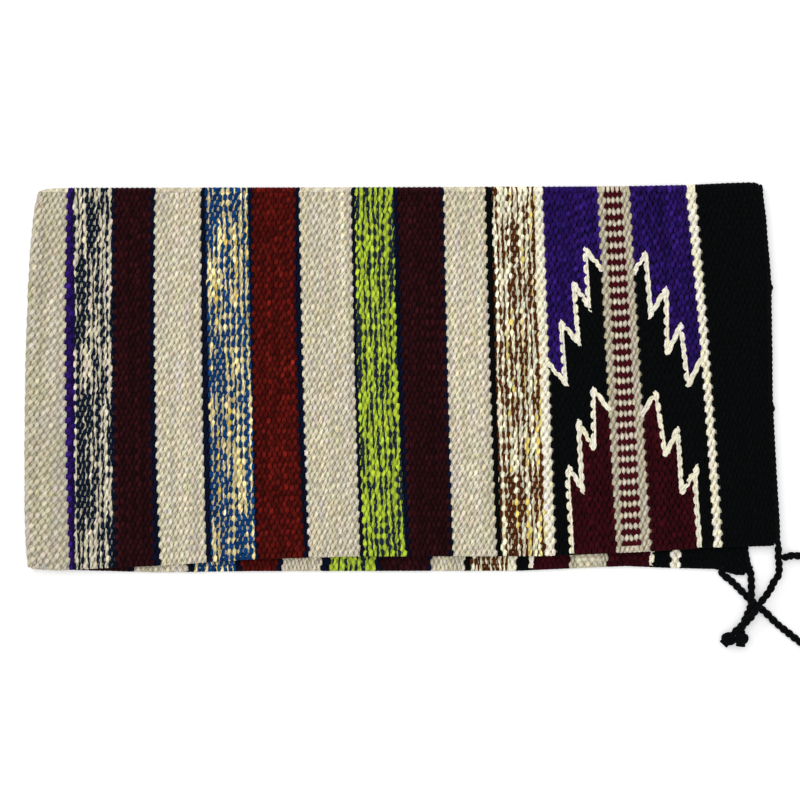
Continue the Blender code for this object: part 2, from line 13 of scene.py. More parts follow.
import bpy
import numpy as np
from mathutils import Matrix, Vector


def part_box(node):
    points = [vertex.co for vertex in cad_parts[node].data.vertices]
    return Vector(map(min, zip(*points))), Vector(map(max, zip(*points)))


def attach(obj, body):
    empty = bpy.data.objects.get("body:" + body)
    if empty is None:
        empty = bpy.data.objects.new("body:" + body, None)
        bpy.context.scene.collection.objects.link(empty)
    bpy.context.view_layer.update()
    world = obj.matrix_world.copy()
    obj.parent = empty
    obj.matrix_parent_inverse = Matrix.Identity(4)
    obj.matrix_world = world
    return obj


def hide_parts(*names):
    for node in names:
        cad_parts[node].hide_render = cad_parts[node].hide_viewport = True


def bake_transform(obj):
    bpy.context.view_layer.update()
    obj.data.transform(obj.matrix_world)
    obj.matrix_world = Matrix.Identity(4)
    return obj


LOG = logging.getLogger("saddle_blanket")

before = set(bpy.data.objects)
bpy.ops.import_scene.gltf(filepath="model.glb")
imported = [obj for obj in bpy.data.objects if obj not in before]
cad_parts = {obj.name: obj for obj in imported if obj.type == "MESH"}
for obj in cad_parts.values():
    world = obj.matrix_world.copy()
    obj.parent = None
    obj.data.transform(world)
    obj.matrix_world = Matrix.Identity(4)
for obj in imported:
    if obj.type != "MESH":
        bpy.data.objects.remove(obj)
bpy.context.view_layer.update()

# The cloth's frame, as the solids have it
FOLD_Y = 0.223565
HINGE_HEIGHT = 0.00665
MIDDLE_X = -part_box("fold_roll")[0].x
CLOTH_THICKNESS = 0.0065
CORNER_RADIUS = 0.007
FOLD_BULGE = 0.0133
EDGE_CORD_OFFSET = 0.0034
FRONT_DEPTH = 0.4562
BACK_DEPTH = 0.4591
FOLD_SEAM = 0.00012
HEM_FULLNESS = 0.0008

# The weave: warps to a layer, how far apart they lie, how far a weft swings, half its height
WARPS = 67.5
WARP_SPACING = 0.00681
SWING = 0.00155
CREST_HALF_HEIGHT = 0.00168
CROSSING_HALF_HEIGHT = 0.00185
FOLD_CROWN = 0.0016
CREST_FLATTENING = 0.28
BEAD_LENGTH = 0.0067
PAST_LAST_WARP = 0.11

# A side's own weft: how wide it is at a crossing, what a crest adds, its swing and its height
RIM_WIDTH, RIM_CREST_WIDTH, RIM_SWING, RIM_HEIGHT = 0.74, 0.06, 0.62, 1.12

# Between which heights over the cloth's middle, as shares of a crest's, the painted shade of a
# crevice ends
CREVICE_SHADE_SHARES = (0.12, 0.86)

# Margins of the maps: between yarns and rings on the flat one, and along each next yarn
ROW_MARGIN, RING_MARGIN, NEXT_YARN = 0.06, 0.25, 0.0137

# Where the seeds of the random draws begin, and how far the back layer's are from the front's
YARN_SEED, COLOUR_SEED, PANEL_SEED, TURN_SEED, BACK_SEEDS = 1000, 2000, 3000, 7000, 500
OUTLINE_SEEDS = 40

LEFT_BOW_SHARES = (
    (0, 0), (0.03, 0.36), (0.10, 0.65), (0.17, 0.83), (0.25, 0.90), (0.33, 0.94),
    (0.44, 1.0), (0.55, 0.93), (0.70, 0.80), (0.85, 0.60), (0.95, 0.30), (1, 0), (1.2, 0),
)
RIGHT_BOW_SHARES = (
    (0, 0), (0.06, 0.44), (0.14, 0.67), (0.24, 1.0), (0.31, 0.74), (0.43, 0.42),
    (0.55, 0.0), (0.79, 0.14), (0.86, 0.28), (1, 0.1), (1.2, 0.1),
)
FRONT_EDGE_SHARES = (
    (0, 0.996), (0.04, 1.0), (0.12, 0.992), (0.17, 0.988), (0.235, 0.979), (0.295, 0.971),
    (0.43, 0.963), (0.69, 0.962), (0.83, 0.950), (0.92, 0.939), (1, 0.935),
)
BACK_EDGE_SHARES = (
    (0, 0.991), (0.11, 0.996), (0.18, 1.0), (0.31, 0.9965), (0.68, 0.9955), (0.83, 0.983),
    (0.89, 0.988), (0.955, 0.991), (0.974, 1.001), (0.985, 1.007), (1, 1.008),
)
BACK_RIGHT_BOW_SHARES = (
    (0, 0), (0.80, 0), (0.92, -1.0), (0.95, -0.85), (0.997, 0), (1.2, 0.3),
)
FOLD_BULGE_SHARES = (
    (0, 0.12), (0.006, 0.30), (0.015, 0.42), (0.04, 0.47), (0.20, 0.50), (0.50, 0.54),
    (0.80, 0.62), (0.90, 0.76), (0.95, 0.92), (0.98, 0.98), (0.99, 0.95), (1, 0.68),
)

# The zigzags of the motif as (share across its panel, share down the layer)
LEFT_UPPER_ZIGZAG = (
    (1.30, 0.260), (1.00, 0.204), (0.72, 0.149), (0.74, 0.305), (0.49, 0.239),
    (0.53, 0.400), (0.24, 0.342), (0.275, 0.505), (0.00, 0.454), (-0.30, 0.400),
)
LEFT_LOWER_ZIGZAG = (
    (1.30, 0.640), (1.00, 0.577), (0.745, 0.520), (0.71, 0.683), (0.47, 0.606),
    (0.485, 0.790), (0.275, 0.727), (0.25, 0.765), (0.264, 0.840), (0.283, 1.080),
)
RIGHT_UPPER_ZIGZAG = (
    (-0.30, 0.275), (0.00, 0.211), (0.21, 0.160), (0.235, 0.325), (0.53, 0.253),
    (0.465, 0.430), (0.735, 0.350), (0.78, 0.515), (1.00, 0.451), (1.30, 0.375),
)
RIGHT_LOWER_ZIGZAG = (
    (-0.30, 0.660), (0.00, 0.587), (0.236, 0.529), (0.33, 0.700), (0.56, 0.6255),
    (0.555, 0.800), (0.84, 0.725), (0.785, 0.765), (0.78, 0.840), (0.788, 1.080),
)
BACK_RIGHT_LOWER_ZIGZAG = (*RIGHT_LOWER_ZIGZAG[:-2], (0.72, 0.900), (0.66, 1.080))

# Routes of the tie cords: (right, towards the fold, above the ground) from their corner, each
# from its root inside the cloth
FRONT_TIE_ROUTE = (
    (0.0000, 0.0040, 0.0101),
    (0.0000, -0.0006, 0.0101), (0.0000, -0.0073, 0.0100), (0.0001, -0.0151, 0.0098),
    (0.0010, -0.0278, 0.0096), (-0.0001, -0.0368, 0.0098), (-0.0057, -0.0454, 0.0105),
    (-0.0120, -0.0572, 0.0118), (-0.0196, -0.0670, 0.0132), (-0.0263, -0.0756, 0.0148),
    (-0.0335, -0.0864, 0.0152), (-0.0414, -0.0946, 0.0140), (-0.0488, -0.1016, 0.0120),
    (-0.0529, -0.1060, 0.0104), (-0.0557, -0.1090, 0.0100),
)
FRONT_SIDE_TIE_ROUTE = (
    (0.0005, -0.0145, 0.0099),
    (0.0044, -0.0147, 0.0098), (0.0085, -0.0151, 0.0095), (0.0173, -0.0136, 0.0078),
    (0.0258, -0.0140, 0.0058), (0.0379, -0.0165, 0.0044), (0.0524, -0.0218, 0.0040),
    (0.0693, -0.0290, 0.0040), (0.0839, -0.0346, 0.0040), (0.0984, -0.0387, 0.0040),
)
BACK_EDGE_TIE_ROUTE = (
    (-0.0352, 0.0060, 0.0036),
    (-0.0347, 0.0004, 0.0040), (-0.0346, -0.0030, 0.0040), (-0.0321, -0.0066, 0.0040),
    (-0.0254, -0.0112, 0.0040), (-0.0183, -0.0177, 0.0040), (-0.0097, -0.0264, 0.0040),
    (-0.0012, -0.0348, 0.0040), (0.0073, -0.0424, 0.0040), (0.0182, -0.0512, 0.0040),
    (0.0312, -0.0640, 0.0040), (0.0442, -0.0748, 0.0040), (0.0581, -0.0855, 0.0040),
    (0.0690, -0.0929, 0.0040), (0.0744, -0.0960, 0.0040),
)
BACK_CORNER_TIE_ROUTE = (
    (0.0000, 0.0050, 0.0038),
    (0.0000, -0.0010, 0.0041), (0.0006, -0.0064, 0.0043), (0.0010, -0.0143, 0.0060),
    (0.0004, -0.0258, 0.0095), (0.0000, -0.0355, 0.0121), (-0.0008, -0.0427, 0.0117),
    (-0.0024, -0.0494, 0.0090), (-0.0053, -0.0572, 0.0052), (-0.0087, -0.0657, 0.0040),
    (-0.0105, -0.0718, 0.0040), (-0.0111, -0.0766, 0.0040),
)


class Wool(Enum):
    """The yarns of the blanket, each by the slot that it is finished from."""

    NATURAL = "natural_wool"
    CREAM = "cream_wool"
    BEIGE = "beige_wool"
    NAVY = "navy_wool"
    BLACK = "black_wool"
    PURPLE = "purple_wool"
    MAROON = "maroon_wool"
    BURGUNDY = "burgundy_wool"
    RUST = "rust_wool"
    NAVY_MARL = "navy_cream_marl_wool"
    BLUE_MARL = "blue_cream_marl_wool"
    LIME_MARL = "lime_navy_marl_wool"
    BROWN_MARL = "brown_cream_marl_wool"
    CHECKER = "maroon_cream_checker_wool"
    TWINED = "twined_black_wool"


class Plying(Enum):
    """How the two colours of a yarn or stripe lie."""

    SINGLE = "single"
    MARLED = "marled"
    PICK_BY_PICK = "pick_by_pick"


def linear(code: str) -> tuple[float, float, float]:
    """Turn a written screen colour into the shader's linear one, by the sRGB curve.

    Args:
        code: Six hexadecimal digits, red, green and blue.

    Returns:
        The linear red, green and blue.
    """
    parts = np.array(list(bytes.fromhex(code))) / 255
    low, high = parts / 12.92, ((parts + 0.055) / 1.055) ** 2.4
    return tuple(np.where(parts <= 0.04045, low, high).tolist())


def along(table: tuple, places: np.ndarray) -> np.ndarray:
    """Read a table of (place, share) rows, straight between its rows.

    Args:
        table: Rows of place and share, in rising order of place.
        places: Where the table is read.

    Returns:
        The share at each place.
    """
    rows = np.array(table, dtype=float)
    return np.interp(places, rows[:, 0], rows[:, 1])


def first_warp(across: np.ndarray) -> np.ndarray:
    """Which warp lies at the fold, because the rows of beads run along the front hem.

    It is the hem's warp less the front layer's depth there over the warps' spacing.

    Args:
        across: Shares across the fold.

    Returns:
        The warp at each share.
    """
    return WARPS - along(FRONT_EDGE_SHARES, across) * FRONT_DEPTH / WARP_SPACING


def ease(share: np.ndarray) -> np.ndarray:
    """Soften a share between 0 and 1: 3s squared less 2s cubed."""
    return share * share * (3 - 2 * share)


def smoothstep(low: float, high: float, values: np.ndarray) -> np.ndarray:
    """Rise softly from 0 at low to 1 at high.

    Args:
        low: Where the rise begins.
        high: Where the rise ends.
        values: What is mapped.

    Returns:
        The risen values, between 0 and 1.
    """
    return ease(np.clip((values - low) / (high - low), 0, 1))


def lengths_along(path: np.ndarray) -> np.ndarray:
    """How far along a path, or along each of several, its points lie: the sum of its steps."""
    step = np.linalg.norm(np.diff(path, axis=-2), axis=-1)
    return np.concatenate([np.zeros((*step.shape[:-1], 1)), np.cumsum(step, axis=-1)], axis=-1)


def unit(vectors: np.ndarray) -> np.ndarray:
    """Directions of some vectors: each of them divided by its length."""
    return vectors / np.linalg.norm(vectors, axis=-1)[..., None]


def ring_angles(sides: int) -> np.ndarray:
    """Angles at an even spacing round a ring, from a quarter turn, which is its top."""
    return math.pi / 2 + 2 * math.pi * np.arange(sides) / sides


def weft_height(wave: np.ndarray) -> np.ndarray:
    """Height of a weft over the cloth's middle: the swing times a flattened cosine."""
    return SWING * wave * (1 + CREST_FLATTENING - CREST_FLATTENING * wave * wave)


def weft_half_height(crest: np.ndarray) -> np.ndarray:
    """Half a weft's own height, from its crossings to its crests."""
    return CROSSING_HALF_HEIGHT + (CREST_HALF_HEIGHT - CROSSING_HALF_HEIGHT) * crest


def placed(name: str, data: bpy.types.ID) -> bpy.types.Object:
    """Put an object into the scene.

    Args:
        name: Its name.
        data: Its mesh, lamp or camera.

    Returns:
        The object.
    """
    item = bpy.data.objects.new(name, data)
    bpy.context.scene.collection.objects.link(item)
    return item


@dataclass(frozen=True)
class Wander:
    """Soft seeded noise along yarns: random values at even spacing, eased between them."""

    spacing: float
    size: float = 1.0

    def noise(self, rng: np.random.Generator, rows: int, places: np.ndarray) -> np.ndarray:
        """Draw the noise of some yarns.

        Between two of its random values, a yarn passes from one to the other by the ease.

        Args:
            rng: The seeded source of the random values.
            rows: How many yarns wander on their own.
            places: Places along the yarns, in the unit of the spacing.

        Returns:
            One row for each yarn.
        """
        at = (places - places.min()) / self.spacing
        first = np.floor(at).astype(int)
        values = rng.normal(size=(rows, first.max() + 2))
        share = ease(at - first)
        return self.size * (values[:, first] * (1 - share) + values[:, first + 1] * share)


@dataclass(frozen=True)
class Handwork:
    """How a hand-woven weft strays: a size for each way, and a spacing in warps for some."""

    place: float = 0.07
    step_together: Wander = Wander(9.0, 0.05)
    step_alone: Wander = Wander(2.6, 0.085)
    step_offset: float = 0.06
    steady_at_fold: float = 2.0
    steady_at_hem: float = 1.0
    lean: float = 0.00030
    lean_spread: float = 0.00012
    sway: Wander = Wander(1.7, 0.00016)
    plumpness: float = 0.07
    swell: Wander = Wander(1.4, 0.05)
    most_swell: float = 0.15


HAND = Handwork()


@dataclass(frozen=True)
class WoolVariation:
    """How every wool's colour varies: a size for each way, and a spacing in warps for most."""

    long_drift: Wander = Wander(26.0, 0.55)
    bead_drift: Wander = Wander(1.3, 0.75)
    yarn_drift: float = 0.45
    tint: Wander = Wander(2.1)
    warmth: Wander = Wander(4.5)
    blue_of_warmth: float = 1.6
    gold: Wander = Wander(6.0, 0.6)
    gold_yarn: float = 0.8
    gold_evening: float = 1.9
    gold_edge: float = 0.1
    gold_tint: tuple = (-0.10, -0.30, -1.45)
    shared_turn: Wander = Wander(8.0)
    sharing_yarns: float = 3.5
    slow_turn: Wander = Wander(5.0, 0.45)
    quick_turn: Wander = Wander(1.4, 0.52)
    level_of_share: float = 1.5
    level_yarn: float = 0.15
    level: Wander = Wander(2.4, 0.25)


VARIATION = WoolVariation()


@dataclass(frozen=True)
class WoolSurface:
    """What every wool's surface has alike: its grooves, fibres, relief and gloss."""

    ply_edge: float = 0.10
    groove_width: float = 0.55
    fibres_around: float = 9.0
    fibres_along: float = 420.0
    fibre_detail: float = 3.0
    fibre_roughness: float = 0.6
    relief_strength: float = 0.45
    relief_depth: float = 0.0004
    fibre_relief: float = 0.6
    roughness_spread: float = 0.1
    specular: float = 0.04
    sheen: float = 0.015
    sheen_roughness: float = 0.6


SURFACE = WoolSurface()


class NodeTree:
    """The node tree of a material or a world, emptied and then built up node by node."""

    def __init__(self, owner: bpy.types.Material | bpy.types.World) -> None:
        """Empty the owner's tree.

        Args:
            owner: The material or the world.
        """
        owner.use_nodes = True
        self.tree = owner.node_tree
        self.tree.nodes.clear()

    def feed(self, socket: bpy.types.NodeSocket, value: object) -> None:
        """Link another socket to a socket, or give it a number or a red, green and blue.

        Args:
            socket: The input.
            value: What it gets.
        """
        if isinstance(value, bpy.types.NodeSocket):
            self.tree.links.new(value, socket)
        else:
            socket.default_value = (*value, 1) if isinstance(value, tuple) else value

    def node(self, kind: str, feeds: dict | None = None, **values: object) -> bpy.types.Node:
        """Add a node.

        Args:
            kind: Its type, less the word that every shader node's begins with.
            feeds: What its inputs get, by their name or number.
            **values: Its properties.

        Returns:
            The node.
        """
        item = self.tree.nodes.new("ShaderNode" + kind)
        for key, value in values.items():
            setattr(item, key, value)
        for key, value in (feeds or {}).items():
            self.feed(item.inputs[key], value)
        return item

    def maths(self, operation: str, *terms: object) -> bpy.types.NodeSocket:
        """Add a Math node.

        Args:
            operation: What it works out.
            *terms: The sockets or numbers that it works on.

        Returns:
            Its output.
        """
        return self.node("Math", dict(enumerate(terms)), operation=operation).outputs[0]

    def softened(
        self, value: bpy.types.NodeSocket, low: float, high: float,
    ) -> bpy.types.NodeSocket:
        """Add a soft rise from 0 to 1.

        Args:
            value: What is mapped.
            low: Where the rise begins.
            high: Where the rise ends.

        Returns:
            The risen value.
        """
        feeds = {"Value": value, "From Min": low, "From Max": high}
        return self.node("MapRange", feeds, interpolation_type="SMOOTHSTEP").outputs["Result"]

    def mixed(self, kind: str, factor: object, *colours: object) -> bpy.types.NodeSocket:
        """Add a colour Mix node.

        Args:
            kind: How it mixes.
            factor: How much of the second colour it takes.
            *colours: The two colours, or the sockets that they come from.

        Returns:
            The mixed colour.
        """
        item = self.node("Mix", {0: factor}, data_type="RGBA", blend_type=kind)
        for socket, colour in zip((one for one in item.inputs if one.type == "RGBA"), colours):
            self.feed(socket, colour)
        return next(one for one in item.outputs if one.type == "RGBA")


@dataclass(frozen=True)
class WoolFinish:
    """One dyed or undyed wool: its colours, how they vary, and how its surface is."""

    wool: Wool
    colour: str
    second: str = "000000"
    plying: Plying = Plying.SINGLE
    value_spread: float = 0.10
    tint_spread: float = 0.02
    warm_spread: float = 0.03
    second_share: float = 0.5
    gold_share: float = 0.0
    drift: float = 1.1
    # crevice: how dark the painted shade goes down in the crevices between yarns
    crevice_shade: float = 0.60
    # groove: how dark the painted shade in the twist groove between the plies goes
    groove: float = 0.30
    fibre: float = 0.22
    twist: float = 88.0
    crest_width: float = 0.79
    crossing_width: float = 0.77
    first_swell: float = 0.0
    roughness: float = 0.90
    label: str = ""

    def material(self) -> bpy.types.Material:
        """Build the wool's material once.

        Colour is the mix of the two plies by the Ply attribute, times the Tone attribute, which
        holds the painted shade of the crevices, times the twist groove, a painted shade between the
        plies, and the fibre noise, both read along the yarn's own map.

        Returns:
            The finished material.
        """
        name = self.label or self.wool.value + "_yarn"
        found = bpy.data.materials.get(name)
        if found:
            return found
        made = bpy.data.materials.new(name)
        made.diffuse_color = (*linear(self.colour), 1)
        tree = NodeTree(made)
        yarn = tree.node("SeparateXYZ", {0: tree.node("UVMap", uv_map="Yarn").outputs["UV"]})
        around, length = yarn.outputs["X"], yarn.outputs["Y"]

        ply = tree.node("Attribute", attribute_name="Ply").outputs["Fac"]
        side = tree.softened(ply, -SURFACE.ply_edge, SURFACE.ply_edge)
        plies = tree.mixed("MIX", side, linear(self.colour), linear(self.second))

        turn = tree.maths("MULTIPLY", length, self.twist)
        turn = tree.maths("SUBTRACT", tree.maths("MULTIPLY", around, 2.0), turn)
        ridge = tree.maths("ABSOLUTE", tree.maths("SINE", tree.maths("MULTIPLY", turn, math.pi)))
        groove = tree.softened(ridge, 0.0, SURFACE.groove_width)

        spot = tree.node("CombineXYZ", {
            "X": tree.maths("MULTIPLY", around, SURFACE.fibres_around),
            "Y": tree.maths("MULTIPLY", length, SURFACE.fibres_along),
        }).outputs[0]
        fibres = tree.node("TexNoise", {
            "Vector": spot, "Scale": 1.0, "Detail": SURFACE.fibre_detail,
            "Roughness": SURFACE.fibre_roughness,
        }, noise_dimensions="3D").outputs["Fac"]

        # painted shade in the twist groove between the plies; the groove also gives the bump its
        # height
        shade = tree.maths("ADD", tree.maths("MULTIPLY", groove, self.groove), 1.0 - self.groove)
        fleck = tree.maths("ADD", tree.maths("MULTIPLY", fibres, 2 * self.fibre), 1.0 - self.fibre)
        both = tree.maths("MULTIPLY", shade, fleck)
        grey = tree.node("CombineColor", {0: both, 1: both, 2: both}).outputs[0]
        tone = tree.node("Attribute", attribute_name="Tone").outputs["Color"]
        coloured = tree.mixed("MULTIPLY", 1.0, tree.mixed("MULTIPLY", 1.0, plies, tone), grey)

        height = tree.maths("ADD", groove, tree.maths("MULTIPLY", fibres, SURFACE.fibre_relief))
        relief = tree.node("Bump", {
            "Strength": SURFACE.relief_strength, "Distance": SURFACE.relief_depth, "Height": height,
        }).outputs[0]
        rough = tree.maths("MULTIPLY", fibres, SURFACE.roughness_spread)
        rough = tree.maths("SUBTRACT", self.roughness + SURFACE.roughness_spread / 2, rough)
        shader = tree.node("BsdfPrincipled", {
            "Base Color": coloured, "Normal": relief, "Roughness": rough,
            "Specular IOR Level": SURFACE.specular, "Sheen Weight": SURFACE.sheen,
            "Sheen Roughness": SURFACE.sheen_roughness,
        }).outputs[0]
        tree.node("OutputMaterial", {"Surface": shader})
        return made

    def width(self, crest: np.ndarray) -> np.ndarray:
        """Half a weft's width as a share of its pitch, from its crossings to its crests."""
        return self.crossing_width + (self.crest_width - self.crossing_width) * crest

    def tones(self, rng: np.random.Generator, rows: int, places: np.ndarray) -> np.ndarray:
        """Colour variation of each yarn: a long drift, a bead-long one, and a change of tint.

        A multiplier is the exponential of the value.  The tint is added to the value for red
        and taken from it for green, and a part of the warmth is taken from it for blue.

        Args:
            rng: The seeded source of the variation.
            rows: How many yarns there are.
            places: Warps passed along the yarns.

        Returns:
            Multipliers of red, green and blue, one row for each yarn.
        """
        look = VARIATION
        value = (
            look.long_drift.noise(rng, rows, places)
            + look.bead_drift.noise(rng, rows, places)
            + look.yarn_drift * rng.normal(size=(rows, 1))
        ) * self.value_spread
        tint = look.tint.noise(rng, rows, places) * self.tint_spread
        warm = look.warmth.noise(rng, rows, places) * self.warm_spread
        blue = value - look.blue_of_warmth * warm
        return np.exp(np.stack([value + tint, value - tint, blue], -1))

    def gilding(self, rng: np.random.Generator, rows: int, places: np.ndarray) -> np.ndarray:
        """Golden stretches of the second colour, as multipliers of red, green and blue.

        Noise along the yarn, plus a value of its own, is spread between 0 and 1 by the logistic
        curve.  Where it passes what the golden share leaves, the yarn takes the gold tint.

        Args:
            rng: The seeded source of the variation.
            rows: How many yarns there are.
            places: Warps passed along the yarns.

        Returns:
            Multipliers of red, green and blue, one row for each yarn.
        """
        look = VARIATION
        unlike = look.gold.noise(rng, rows, places) + look.gold_yarn * rng.normal(size=(rows, 1))
        even = 1 / (1 + np.exp(-look.gold_evening * unlike))
        gold = smoothstep(1 - self.gold_share, 1 + look.gold_edge - self.gold_share, even)
        return np.exp(gold[..., None] * np.array(look.gold_tint))

    def plies(
        self, rng: np.random.Generator, rows: int, places: np.ndarray, angles: np.ndarray,
    ) -> np.ndarray:
        """Where the second colour shows round each yarn, positive where it does.

        A marled yarn shows it where the cosine of the angle to its second strand passes that
        yarn's own level.  Neighbours start half a turn apart and wander round by as much, each
        its own way, so that their sides join into lines in some places and part into dashes of
        either colour in others.

        Args:
            rng: The seeded source of the variation.
            rows: How many yarns there are.
            places: Warps passed along the yarns.
            angles: Angles round a yarn.

        Returns:
            A field for each yarn, place and angle.
        """
        shape = (rows, len(places), len(angles))
        if self.plying is Plying.SINGLE:
            return np.full(shape, -1.0)
        number = np.arange(rows)
        if self.plying is Plying.PICK_BY_PICK:
            return np.broadcast_to(np.where(number % 2, 1.0, -1.0)[:, None, None], shape).copy()
        look = VARIATION
        group = number / look.sharing_yarns
        low = group.astype(int)
        share = (group - low)[:, None]
        shared = look.shared_turn.noise(rng, low.max() + 2, places)
        shared = shared[low] * (1 - share) + shared[low + 1] * share
        hand = rng.choice((-1.0, 1.0), size=(rows, 1))
        strand = math.pi * (number % 2)[:, None] + self.drift * hand * shared
        strand = strand + look.slow_turn.noise(rng, rows, places)
        strand = strand + look.quick_turn.noise(rng, rows, places)
        level = (0.5 - self.second_share) * look.level_of_share
        level = level + look.level_yarn * rng.normal(size=(rows, 1))
        level = level + look.level.noise(rng, rows, places)
        return np.cos(angles[None, None, :] - strand[..., None]) - level[..., None]


FINISHES = {
    one.wool: one
    for one in (
        WoolFinish(
            Wool.NATURAL, "E3DAC1", value_spread=0.11, tint_spread=0.016, warm_spread=0.045,
            crevice_shade=0.84, groove=0.50, fibre=0.20,
        ),
        WoolFinish(
            Wool.CREAM, "FFF9E2", value_spread=0.05, tint_spread=0.01, warm_spread=0.05,
            crevice_shade=0.88, groove=0.34,
        ),
        WoolFinish(
            Wool.BEIGE, "D2C8AF", value_spread=0.10, tint_spread=0.01, warm_spread=0.04,
            crevice_shade=0.68, groove=0.46,
        ),
        WoolFinish(Wool.NAVY, "070E26", value_spread=0.16),
        WoolFinish(
            Wool.BLACK, "030506", value_spread=0.20, crevice_shade=0.42, crest_width=0.92,
            crossing_width=0.86,
        ),
        WoolFinish(
            Wool.PURPLE, "2B1462", value_spread=0.36, tint_spread=0.05, crevice_shade=0.62, groove=0.60,
            fibre=0.34, crest_width=0.95, crossing_width=0.90,
        ),
        WoolFinish(
            Wool.MAROON, "2B0A0F", second="070E26", value_spread=0.32, crevice_shade=0.50, groove=0.50,
            fibre=0.30, crest_width=0.90, crossing_width=0.86,
        ),
        WoolFinish(
            Wool.BURGUNDY, "36060F", value_spread=0.24, crevice_shade=0.55, groove=0.42, crest_width=0.92,
            crossing_width=0.88,
        ),
        WoolFinish(
            Wool.RUST, "550F0A", value_spread=0.38, tint_spread=0.07, crevice_shade=0.50, groove=0.60,
            fibre=0.34, crest_width=0.90, crossing_width=0.86,
        ),
        WoolFinish(
            Wool.NAVY_MARL, "08172A", second="E2D9C0", plying=Plying.MARLED, second_share=0.39,
            value_spread=0.12, crevice_shade=0.80, groove=0.30,
        ),
        WoolFinish(
            Wool.BLUE_MARL, "093A70", second="F7E6A6", plying=Plying.MARLED, second_share=0.288,
            value_spread=0.26, gold_share=0.22, crevice_shade=0.80, groove=0.34,
        ),
        WoolFinish(
            Wool.LIME_MARL, "BAD23C", second="1B2638", plying=Plying.MARLED, second_share=0.46,
            value_spread=0.12, crevice_shade=0.80, groove=0.30,
        ),
        WoolFinish(
            Wool.BROWN_MARL, "52260A", second="FFFADA", plying=Plying.MARLED, second_share=0.455,
            value_spread=0.18, gold_share=0.14, crevice_shade=0.74, groove=0.26,
        ),
        WoolFinish(
            Wool.CHECKER, "440913", second="E6DDC5", plying=Plying.PICK_BY_PICK, crevice_shade=0.66,
            crest_width=1.10, crossing_width=0.62, first_swell=0.16,
        ),
        WoolFinish(Wool.TWINED, "050709", value_spread=0.20, groove=0.35, twist=140.0),
    )
}
# The warp sheet's finish: its colour comes from the Tone attribute, the painted shade of the gaps
# between the wefts
WARP_FINISH = WoolFinish(Wool.NATURAL, "FFFFFF", label="warp_yarn", groove=0.1)


@dataclass(frozen=True)
class Band:
    """One colour band of the cloth, as it runs from the front edge over the fold to the back.

    Its width is given at the fold, as a share of that at the front's free edge, and at the
    back's.  The back node is the back layer's solid that holds it, where that isn't its own.
    """

    name: str
    wool: Wool
    picks: int
    fold_width: float
    front_share: float
    back_width: float
    sway: float
    back_node: str = ""
    other_picks: tuple = ()
    # shade: a multiplier of the band's colours, below 1 for painted shade
    shade: float = 1.0


MOTIF_NODE = "stepped_motif_field"
BANDS = (
    # The end band's shade darkens it all over: painted shade at the cloth's rounded left side
    Band("natural_end_band", Wool.NATURAL, 12, 0.0347, 1.43, 0.0363, 0.0, shade=0.83),
    Band(
        "purple_pin_stripe", Wool.PURPLE, 2, 0.0062, 0.78, 0.0048, -0.0034, "navy_cream_marl_band",
    ),
    Band("navy_cream_marl_band", Wool.NAVY_MARL, 16, 0.0486, 1.00, 0.0303, 0.0010),
    Band("maroon_band_1", Wool.MAROON, 15, 0.0463, 1.045, 0.0484, -0.0013, other_picks=(0,)),
    Band("navy_pin_stripe_1", Wool.NAVY, 2, 0.0051, 1.59, 0.0060, -0.0028, "maroon_band_1"),
    Band("natural_band_1", Wool.NATURAL, 18, 0.0554, 1.01, 0.0653, -0.0033),
    Band("navy_pin_stripe_2", Wool.NAVY, 2, 0.0051, 1.09, 0.0073, -0.0018, "blue_cream_marl_band"),
    Band("blue_cream_marl_band", Wool.BLUE_MARL, 16, 0.0518, 1.04, 0.0513, 0.0004),
    Band("navy_pin_stripe_3", Wool.NAVY, 2, 0.0051, 0.59, 0.0068, -0.0006, "rust_band"),
    Band("rust_band", Wool.RUST, 17, 0.0520, 1.09, 0.0436, -0.0018),
    Band("navy_pin_stripe_4", Wool.NAVY, 2, 0.0051, 1.07, 0.0060, -0.0039, "rust_band"),
    Band("natural_band_2", Wool.NATURAL, 20, 0.0629, 0.98, 0.0476, -0.0016),
    Band("navy_pin_stripe_5", Wool.NAVY, 2, 0.0051, 1.00, 0.0102, -0.0013, "lime_navy_marl_band"),
    Band("lime_navy_marl_band", Wool.LIME_MARL, 15, 0.0459, 1.11, 0.0552, -0.0023),
    Band("navy_pin_stripe_6", Wool.NAVY, 2, 0.0051, 0.95, 0.0064, -0.0028, "lime_navy_marl_band"),
    Band("maroon_band_2", Wool.MAROON, 18, 0.0557, 0.925, 0.0616, -0.0011, other_picks=(17,)),
    Band("natural_band_3", Wool.NATURAL, 16, 0.0505, 1.05, 0.0405, -0.0007),
    Band("black_pin_stripe", Wool.BLACK, 2, 0.0076, 0.73, 0.0067, -0.0013, "brown_cream_marl_band"),
    Band("brown_cream_marl_band", Wool.BROWN_MARL, 17, 0.0525, 1.03, 0.0466, -0.0010),
    Band("left_cream_line", Wool.CREAM, 3, 0.0093, 1.21, 0.0093, 0.0, MOTIF_NODE),
    Band("left_motif", Wool.PURPLE, 21, 0.0666, 1.126, 0.0645, 0.0002, MOTIF_NODE),
    Band("left_braid_stripe", Wool.BEIGE, 3, 0.0083, 0.96, 0.0079, -0.0004, MOTIF_NODE),
    Band("maroon_cream_checker_stripe", Wool.CHECKER, 7, 0.0195, 1.055, 0.0296, 0.0016, MOTIF_NODE),
    Band("right_braid_stripe", Wool.BEIGE, 4, 0.0111, 1.19, 0.0085, 0.0010, MOTIF_NODE),
    Band("right_motif", Wool.PURPLE, 22, 0.0686, 1.11, 0.0768, -0.0004, MOTIF_NODE),
    Band("right_cream_line", Wool.CREAM, 3, 0.0114, 0.91, 0.0115, 0.0030, MOTIF_NODE),
    Band("black_end_band", Wool.BLACK, 24, 0.0756, 0.84, 0.0823, 0.0015),
)
FIRST_PICKS = 1 + np.concatenate([[0], np.cumsum([band.picks for band in BANDS])])


